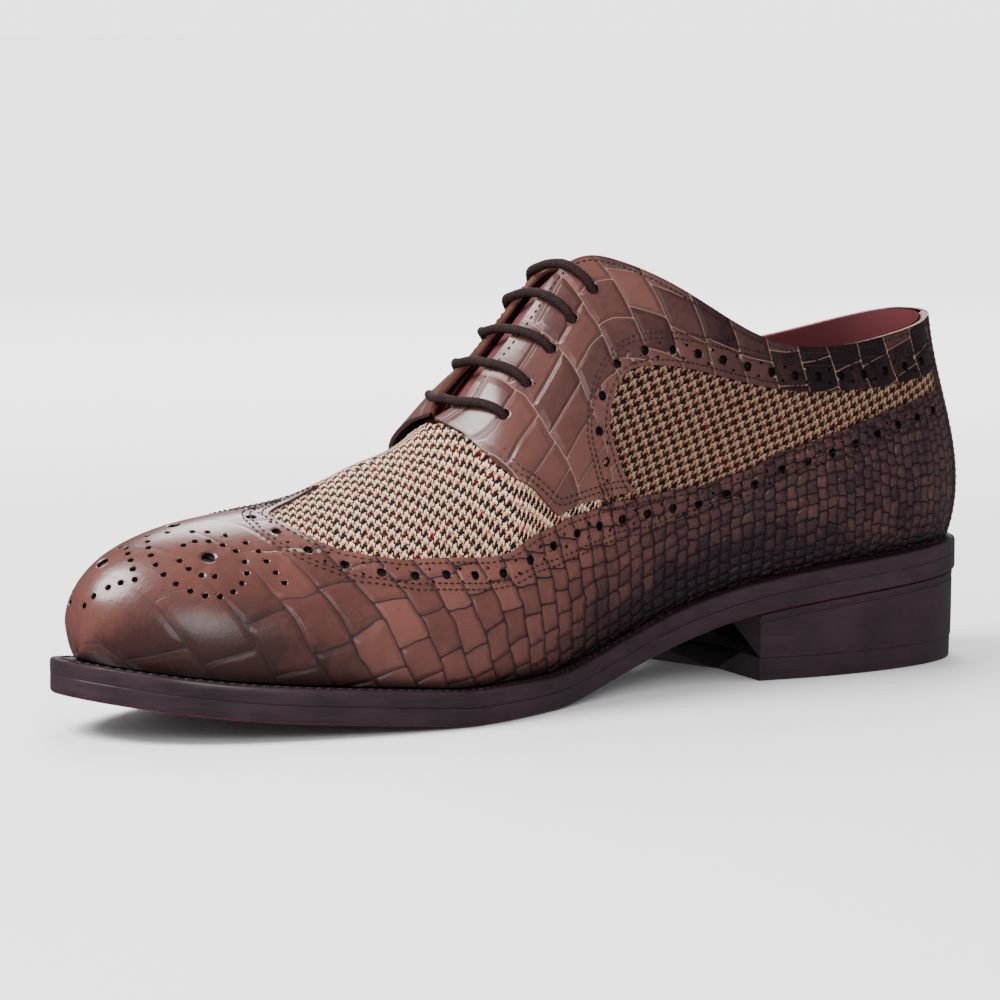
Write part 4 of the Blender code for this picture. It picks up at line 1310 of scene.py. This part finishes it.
def make_sole():
    """Outsole with a groove along its underside, the welt on top of it and the welt's stitching."""
    thick = OUTSOLE_THICK
    outsole = [(14, 0.0, 0.0), (14, 0.35, 0.0), (14, 0.7, 0.0), (12, 1, 0.0), (6.4, 1, 0.0), (5.9, 1, 0.55),
               (5.2, 1, 0.55), (4.8, 1, 0.0), (1.6, 1, 0.0), (0.8, 1, 0.12), (0.25, 1, 0.5), (0.0, 1, 1.0),
               (0.0, 1, 2.4), (0.0, 1, 3.8), (0.0, 1, thick - 0.15), (0.15, 1, thick), (0.9, 1, thick),
               (10, 1, thick), (14, 0.8, thick), (14, 0.4, thick), (14, 0.0, thick)]
    make_edge_ring("outsole_dressed", outsole, "sole_edge", "outsole", "sole_under")
    low, top = thick + 0.06, SOLE_EDGE
    welt = [(15, 1, low), (0.8, 1, low), (0.12, 1, low), (0.0, 1, low + 0.15), (0.0, 1, top - 0.9),
            (0.2, 1, top - 0.35), (0.7, 1, top - 0.05), (1.2, 1, top), (2.4, 1, top - 0.05), (4.4, 1, top),
            (6.5, 1, top), (15, 1, top), (15, 1, low)]
    make_edge_ring("welt_dressed", welt, "sole_edge", "welt")
    thread = bmesh.new()
    for side in SIDES:
        ribs = columns(WELT_STITCH_START, 305, WELT_STITCH_PITCH)
        s, t = sole_edge(ribs, side, WELT_STITCH_INSET)[:2]
        points = place(s, t, underside(s) + SOLE_EDGE + 0.1, side)
        unit = bmesh.new()
        bmesh.ops.create_icosphere(unit, subdivisions=1, radius=1.0)
        bar, local = shape_of(unit)
        for point, a in zip(points, normed(np.gradient(points, axis=0))):
            across = np.cross((0, 0, 1), a)
            up = np.cross(a, across)
            moved = local[:, :1] * 1.15 * a + local[:, 1:2] * 0.42 * across + local[:, 2:] * 0.35 * up
            bar.vertices.foreach_set("co", (point + moved * MM).ravel())
            thread.from_mesh(bar)
        bpy.data.meshes.remove(bar)
    finish_piece("welt_stitching", thread, leather_stack("thread_welt"))


def heel_block(name, profile, material, node):
    """Closed block under the heel: profile rows are (inset, across, height function of s)."""
    ribs = np.linspace(0, turn(HEEL_BREAST), 70)

    def spot_for(side):
        def spot(u, v):
            rib = ribs[np.rint(u * (len(ribs) - 1)).astype(int)]
            k = np.rint(v * (len(profile) - 1)).astype(int)
            inset = np.array([row[0] for row in profile])[k]
            across = np.array([row[1] for row in profile])[k]
            s, t, out_s, out_t = sole_edge(rib, side, inset)
            s = s - BREAST_HOLLOW * (1 - across ** 2) * u ** 3
            heights = [row[2](s) if callable(row[2]) else np.full(len(s), float(row[2])) for row in profile]
            z = np.select([k == i for i in range(len(profile))], heights)
            out = np.stack((-out_s, -side * out_t, np.zeros(len(u))), -1)
            return place(s, t * across, z, side), out, np.zeros((len(u), 6))
        return spot

    mesh = sew([grid_mesh(len(ribs) - 1, len(profile) - 1, spot_for(side)) for side in SIDES])
    bmesh.ops.holes_fill(mesh, edges=[edge for edge in mesh.edges if edge.is_boundary], sides=400)
    bmesh.ops.recalc_face_normals(mesh, faces=mesh.faces)
    return finish_piece(name, mesh, leather_stack(material), sharp=40, replaces=(node,))


def make_heel():
    """Heel stack with a groove near its top, top lift and rubber corner."""
    def top(s):
        return underside(s) - GAP * 0.4
    low = TOP_LIFT + 0.06
    rows = [(HEEL_INSET + 0.7, 0.0, low), (HEEL_INSET + 0.7, 0.5, low), (HEEL_INSET + 0.75, 1, low),
            (HEEL_INSET + 0.6, 1, low + 0.15), (HEEL_INSET + 0.45, 1, low + 6.0),
            (HEEL_INSET + 0.35, 1, lambda s: top(s) - 2.4), (HEEL_INSET + 0.6, 1, lambda s: top(s) - 2.25),
            (HEEL_INSET + 0.6, 1, lambda s: top(s) - 1.5), (HEEL_INSET + 0.3, 1, lambda s: top(s) - 1.35),
            (HEEL_INSET + 0.3, 1, lambda s: top(s) - 0.2), (HEEL_INSET + 0.5, 1, top), (HEEL_INSET, 0.5, top),
            (HEEL_INSET, 0.0, top)]
    heel_block("heel_stack_dressed", rows, "sole_edge", "heel_stack")
    base = HEEL_INSET + 1.0
    lift_rows = [(base + 0.5, 0.0, 0.0), (base + 0.5, 0.5, 0.0), (base + 0.5, 0.8, 0.0), (base + 0.7, 1, 0.0),
                 (base + 0.15, 1, 0.25), (base, 1, 0.9), (base - 0.15, 1, TOP_LIFT - 0.5),
                 (base - 0.1, 1, TOP_LIFT), (base, 0.5, TOP_LIFT), (base, 0.0, TOP_LIFT)]
    start = Vector(place(RUBBER_LENGTH, float(edge_width(turn(RUBBER_LENGTH), LATERAL)), 0, LATERAL))
    end = Vector(place(0, RUBBER_REACH, 0, MEDIAL))
    across = (end - start).cross(Vector((0, 0, 1))).normalized()
    for name, finish, under, slot, node, sign in (
            ("top_lift_dressed", "sole_edge", "sole_under", "sole_leather", "top_lift", -1),
            ("rubber_corner", "rubber_black", "rubber_black", "heel_rubber", "heel_rubber", 1)):
        piece = heel_block(name, lift_rows, finish, node)
        piece.data.materials.append(bpy.data.materials[under])
        mesh = bmesh.new()
        mesh.from_mesh(piece.data)
        cut = bmesh.ops.bisect_plane(mesh, geom=mesh.verts[:] + mesh.edges[:] + mesh.faces[:],
                                     plane_co=start - across * sign * 0.1 * MM, plane_no=across * sign,
                                     clear_outer=True)["geom_cut"]
        rim = [item for item in cut if isinstance(item, bmesh.types.BMEdge)]
        bmesh.ops.edgeloop_fill(mesh, edges=rim)
        bmesh.ops.recalc_face_normals(mesh, faces=mesh.faces)
        paint_under(mesh)
        mesh.to_mesh(piece.data)
        mesh.free()
        piece.data.set_sharp_from_angle(angle=math.radians(35))


def make_pins():
    """Brass pins in the top lift, in threes."""
    mesh = bmesh.new()
    for middle_s, middle_t, side in PIN_GROUPS:
        for ds, dt in ((0, 2.2), (-2.0, -1.3), (2.0, -1.3)):
            spot = place(middle_s + ds, middle_t + dt, -0.02, side)
            middle = Vector(spot) + Vector((0, 0, PIN_HEIGHT * MM))
            bmesh.ops.create_cone(mesh, cap_ends=True, segments=12, radius1=0.7 * MM, radius2=0.75 * MM,
                                  depth=0.16 * MM, matrix=Matrix.Translation(middle))
    finish_piece("brass_pins", mesh, leather_stack("brass"))


def dress_kept_solids():
    """Give the solids that stay as they are their finish."""
    for node, name in (("tongue", "lining_leather"), ("insole", "insole_leather")):
        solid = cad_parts[node]
        solid.data.materials.clear()
        solid.data.materials.append(bpy.data.materials[name])


def make_stage():
    """Floor, soft lights, plain world and the camera."""
    floor = bmesh.new()
    bmesh.ops.create_grid(floor, x_segments=1, y_segments=1, size=STAGE_REACH)
    data = bpy.data.meshes.new("floor")
    floor.to_mesh(data)
    floor.free()
    data.materials.append(bpy.data.materials["floor_pale"])
    ground = put("floor", data)
    ground.visible_glossy = False
    for row in LAMPS:
        lamp = bpy.data.lights.new(row.name, "AREA")
        lamp.shape = "DISK"
        lamp.size = row.size
        lamp.energy = row.power
        light = put(row.name, lamp)
        light.location = row.place
        light.rotation_euler = (Vector((0, 0, 0.05)) - Vector(row.place)).to_track_quat("-Z", "Y").to_euler()
    world = bpy.data.worlds.new("pale")
    world.use_nodes = True
    tree = world.node_tree
    back = tree.nodes["Background"]
    back.inputs[0].default_value = (0.97, 0.98, 1.0, 1)
    path = tree.nodes.new("ShaderNodeLightPath")
    level = tree.nodes.new("ShaderNodeMapRange")
    level.inputs["To Min"].default_value = WORLD_LEVEL
    level.inputs["To Max"].default_value = WORLD_IN_GLOSS
    tree.links.new(path.outputs["Is Glossy Ray"], level.inputs["Value"])
    seen = tree.nodes.new("ShaderNodeMath")
    seen.operation = "MULTIPLY_ADD"
    seen.inputs[1].default_value = WORLD_SEEN - WORLD_LEVEL
    tree.links.new(path.outputs["Is Camera Ray"], seen.inputs[0])
    tree.links.new(level.outputs[0], seen.inputs[2])
    tree.links.new(seen.outputs[0], back.inputs[1])
    bpy.context.scene.world = world
    lens = bpy.data.cameras.new("camera")
    lens.lens = CAMERA_LENS
    lens.sensor_width = 36.0
    camera = put("camera", lens)
    shift = Vector((0, centre_shift() * MM, 0))
    camera.location = Vector(CAMERA_PLACE) + shift
    camera.rotation_euler = (Vector(CAMERA_AIM) - Vector(CAMERA_PLACE)).to_track_quat("-Z", "Y").to_euler()
    bpy.context.scene.camera = camera


def make_finishes():
    """Every material of the shoe."""
    c = colours()
    embossed_leather("wing_leather", c.wing, c.wing_burnish_and_shade, (0.018, 0.010, 0.016), 0.030, 11.0, 0.34, 0.5,
                     0.4, True)
    embossed_leather("facing_leather", c.facing, c.facing_burnish_and_shade, c.crease, 0.024, 24.0, 0.2, 0.6, 0.28)
    plain_leather("stay_leather", (0.046, 0.0165, 0.0165), (0.036, 0.0125, 0.0135), 0.38, 0.25)
    plain_leather("lining_leather", c.lining, (0.05, 0.006, 0.011), 0.45, 0.05)
    plain_leather("insole_leather", (0.09, 0.014, 0.018), (0.06, 0.010, 0.014), 0.5, 0.05)
    plain_leather("sole_under", (0.075, 0.006, 0.014), (0.045, 0.004, 0.009), 0.24, 0.5, 0.06)
    # Painted shade inside the punched holes and the lace holes
    plain_leather("hole_dark", (0.006, 0.004, 0.0035), (0.003, 0.002, 0.002), 0.7, 0.0)
    plain_leather("rubber_black", (0.014, 0.014, 0.015), (0.008, 0.008, 0.009), 0.6, 0.0, 0.2)
    edge_leather("cut_edge", (0.26, 0.12, 0.06), (0.10, 0.04, 0.022), 0.6, 0.0)
    edge_leather("sole_edge", c.sole, (0.014, 0.0075, 0.0105), 0.36, 0.3)
    twisted_thread("thread_dark", (0.022, 0.011, 0.009), (0.008, 0.004, 0.0035), 260.0)
    twisted_thread("thread_welt", (0.028, 0.018, 0.016), (0.009, 0.006, 0.006), 200.0)
    checked_cloth("checked_cloth", c.cream, c.black, c.tan, c.red)
    woven_lace("lace_weave", c.lace, (0.008, 0.004, 0.0035))
    brass_finish("brass", (0.75, 0.5, 0.2))
    # The floor glows: painted light that brightens it away from the shoe
    floor_finish("floor_pale", (0.90, 0.90, 0.91))


# ---- the add-on ----

def length_property(name, text, value):
    """A size in metres."""
    return bpy.props.FloatProperty(name=name, description=text, default=value, min=0.0, unit="LENGTH",
                                   precision=5)


def colour_property(name, text, value):
    """A linear colour."""
    return bpy.props.FloatVectorProperty(name=name, description=text, default=value, size=3, min=0.0, max=1.0,
                                         subtype="COLOR")


class BROGUE_PG_sizes(bpy.types.PropertyGroup):
    """Sizes of the visible work"""
    big_hole: length_property("Big hole", "Radius of the big punched holes", 0.0014)
    small_hole: length_property("Small hole", "Radius of the small holes between them", 0.0005)
    toe_hole: length_property("Toe hole", "Radius of the small holes of the toe pattern", 0.00082)
    hole_step: length_property("Hole step", "Distance from one big hole to the next", 0.0095)
    lace_hole: length_property("Lace hole", "Radius of a lace hole", 0.00175)
    lace: length_property("Lace", "Radius of the lace", 0.00138)
    leather: length_property("Leather", "Thickness that the wing's cut edge shows", 0.0011)


class BROGUE_PG_colours(bpy.types.PropertyGroup):
    """Colours of leather, cloth, lace and sole"""
    wing: colour_property("Wing", "Embossed leather where it is worn light", (0.140, 0.050, 0.038))
    # Dark end of the wing: its burnish, and painted shade at the waist
    wing_burnish_and_shade: colour_property("Wing burnish", "Embossed leather where it is burnished",
                                  (0.017, 0.0068, 0.0115))
    facing: colour_property("Facing", "Leather of facing and collar", (0.108, 0.042, 0.034))
    # Dark end of the facing: its burnish, and painted shade towards the heel
    facing_burnish_and_shade: colour_property("Facing burnish", "Its burnished parts", (0.008, 0.0026, 0.0046))
    crease: colour_property("Crease", "Lines between the facing's tiles", (0.22, 0.115, 0.085))
    lining: colour_property("Lining", "Lining and tongue", (0.10, 0.009, 0.017))
    sole: colour_property("Sole edge", "Edges of sole and heel", (0.038, 0.018, 0.026))
    cream: colour_property("Cream yarn", "Light yarn of the cloth", (0.92, 0.70, 0.48))
    black: colour_property("Black yarn", "Dark yarn of the cloth", (0.008, 0.004, 0.005))
    tan: colour_property("Tan yarn", "Middle yarn of the cloth", (0.50, 0.22, 0.10))
    red: colour_property("Red fleck", "Red flecks of the cloth", (0.36, 0.004, 0.012))
    lace: colour_property("Lace", "Waxed lace", (0.026, 0.012, 0.013))


def sizes():
    """The sizes set in the sidebar."""
    return bpy.context.scene.brogue_sizes


def colours():
    """The colours set in the sidebar."""
    return bpy.context.scene.brogue_colours


def piece_operator(key, label, text, make):
    """An operator that runs one making function."""
    def execute(self, context):
        make()
        return {"FINISHED"}
    return type(f"BROGUE_OT_{key}", (bpy.types.Operator,), {
        "__doc__": text, "bl_idname": f"brogue.{key}", "bl_label": label, "bl_options": {"REGISTER", "UNDO"},
        "execute": execute})


OPERATORS = (
    piece_operator("finishes", "Finishes", "Make every material of the shoe", make_finishes),
    piece_operator("wing", "Wing", "Make the long wing, its punched holes and its stitching", make_wing),
    piece_operator("cloth", "Cloth", "Make the checked cloth under the windows", make_cloth),
    piece_operator("facings", "Facings", "Make collar and facings, lace holes and stitching", make_facings),
    piece_operator("backstay", "Backstay", "Make the strip over the back seam", make_backstay),
    piece_operator("lining", "Lining", "Make the lining of the upper", make_lining),
    piece_operator("laces", "Laces", "Make the five bars of the lace", make_laces),
    piece_operator("sole", "Sole", "Make outsole, welt and welt stitching", make_sole),
    piece_operator("heel", "Heel", "Make heel stack, top lift and rubber corner", make_heel),
    piece_operator("pins", "Pins", "Make the brass pins in the top lift", make_pins),
    piece_operator("solids", "Kept solids", "Give tongue and insole their finish", dress_kept_solids),
    piece_operator("stage", "Stage", "Make floor, lights, world and camera", make_stage))


class BROGUE_PT_panel(bpy.types.Panel):
    """Pieces, sizes and colours of the brogue"""
    bl_idname = "BROGUE_PT_panel"
    bl_label = "Longwing brogue"
    bl_space_type = "VIEW_3D"
    bl_region_type = "UI"
    bl_category = "Brogue"

    def draw(self, context):
        for operator in OPERATORS:
            self.layout.operator(operator.bl_idname)
        for group in (context.scene.brogue_sizes, context.scene.brogue_colours):
            for name in group.__annotations__:
                self.layout.prop(group, name)


CLASSES = (BROGUE_PG_sizes, BROGUE_PG_colours) + OPERATORS + (BROGUE_PT_panel,)


def register():
    """Register the classes and their settings."""
    for item in CLASSES:
        bpy.utils.register_class(item)
    bpy.types.Scene.brogue_sizes = bpy.props.PointerProperty(type=BROGUE_PG_sizes)
    bpy.types.Scene.brogue_colours = bpy.props.PointerProperty(type=BROGUE_PG_colours)


def unregister():
    """Remove the settings and the classes."""
    del bpy.types.Scene.brogue_colours
    del bpy.types.Scene.brogue_sizes
    for item in reversed(CLASSES):
        bpy.utils.unregister_class(item)


def main():
    """Make every piece in order and write the sizes."""
    register()
    for operator in OPERATORS:
        group, key = operator.bl_idname.split(".")
        getattr(getattr(bpy.ops, group), key)()


if __name__ == "__main__":
    main()
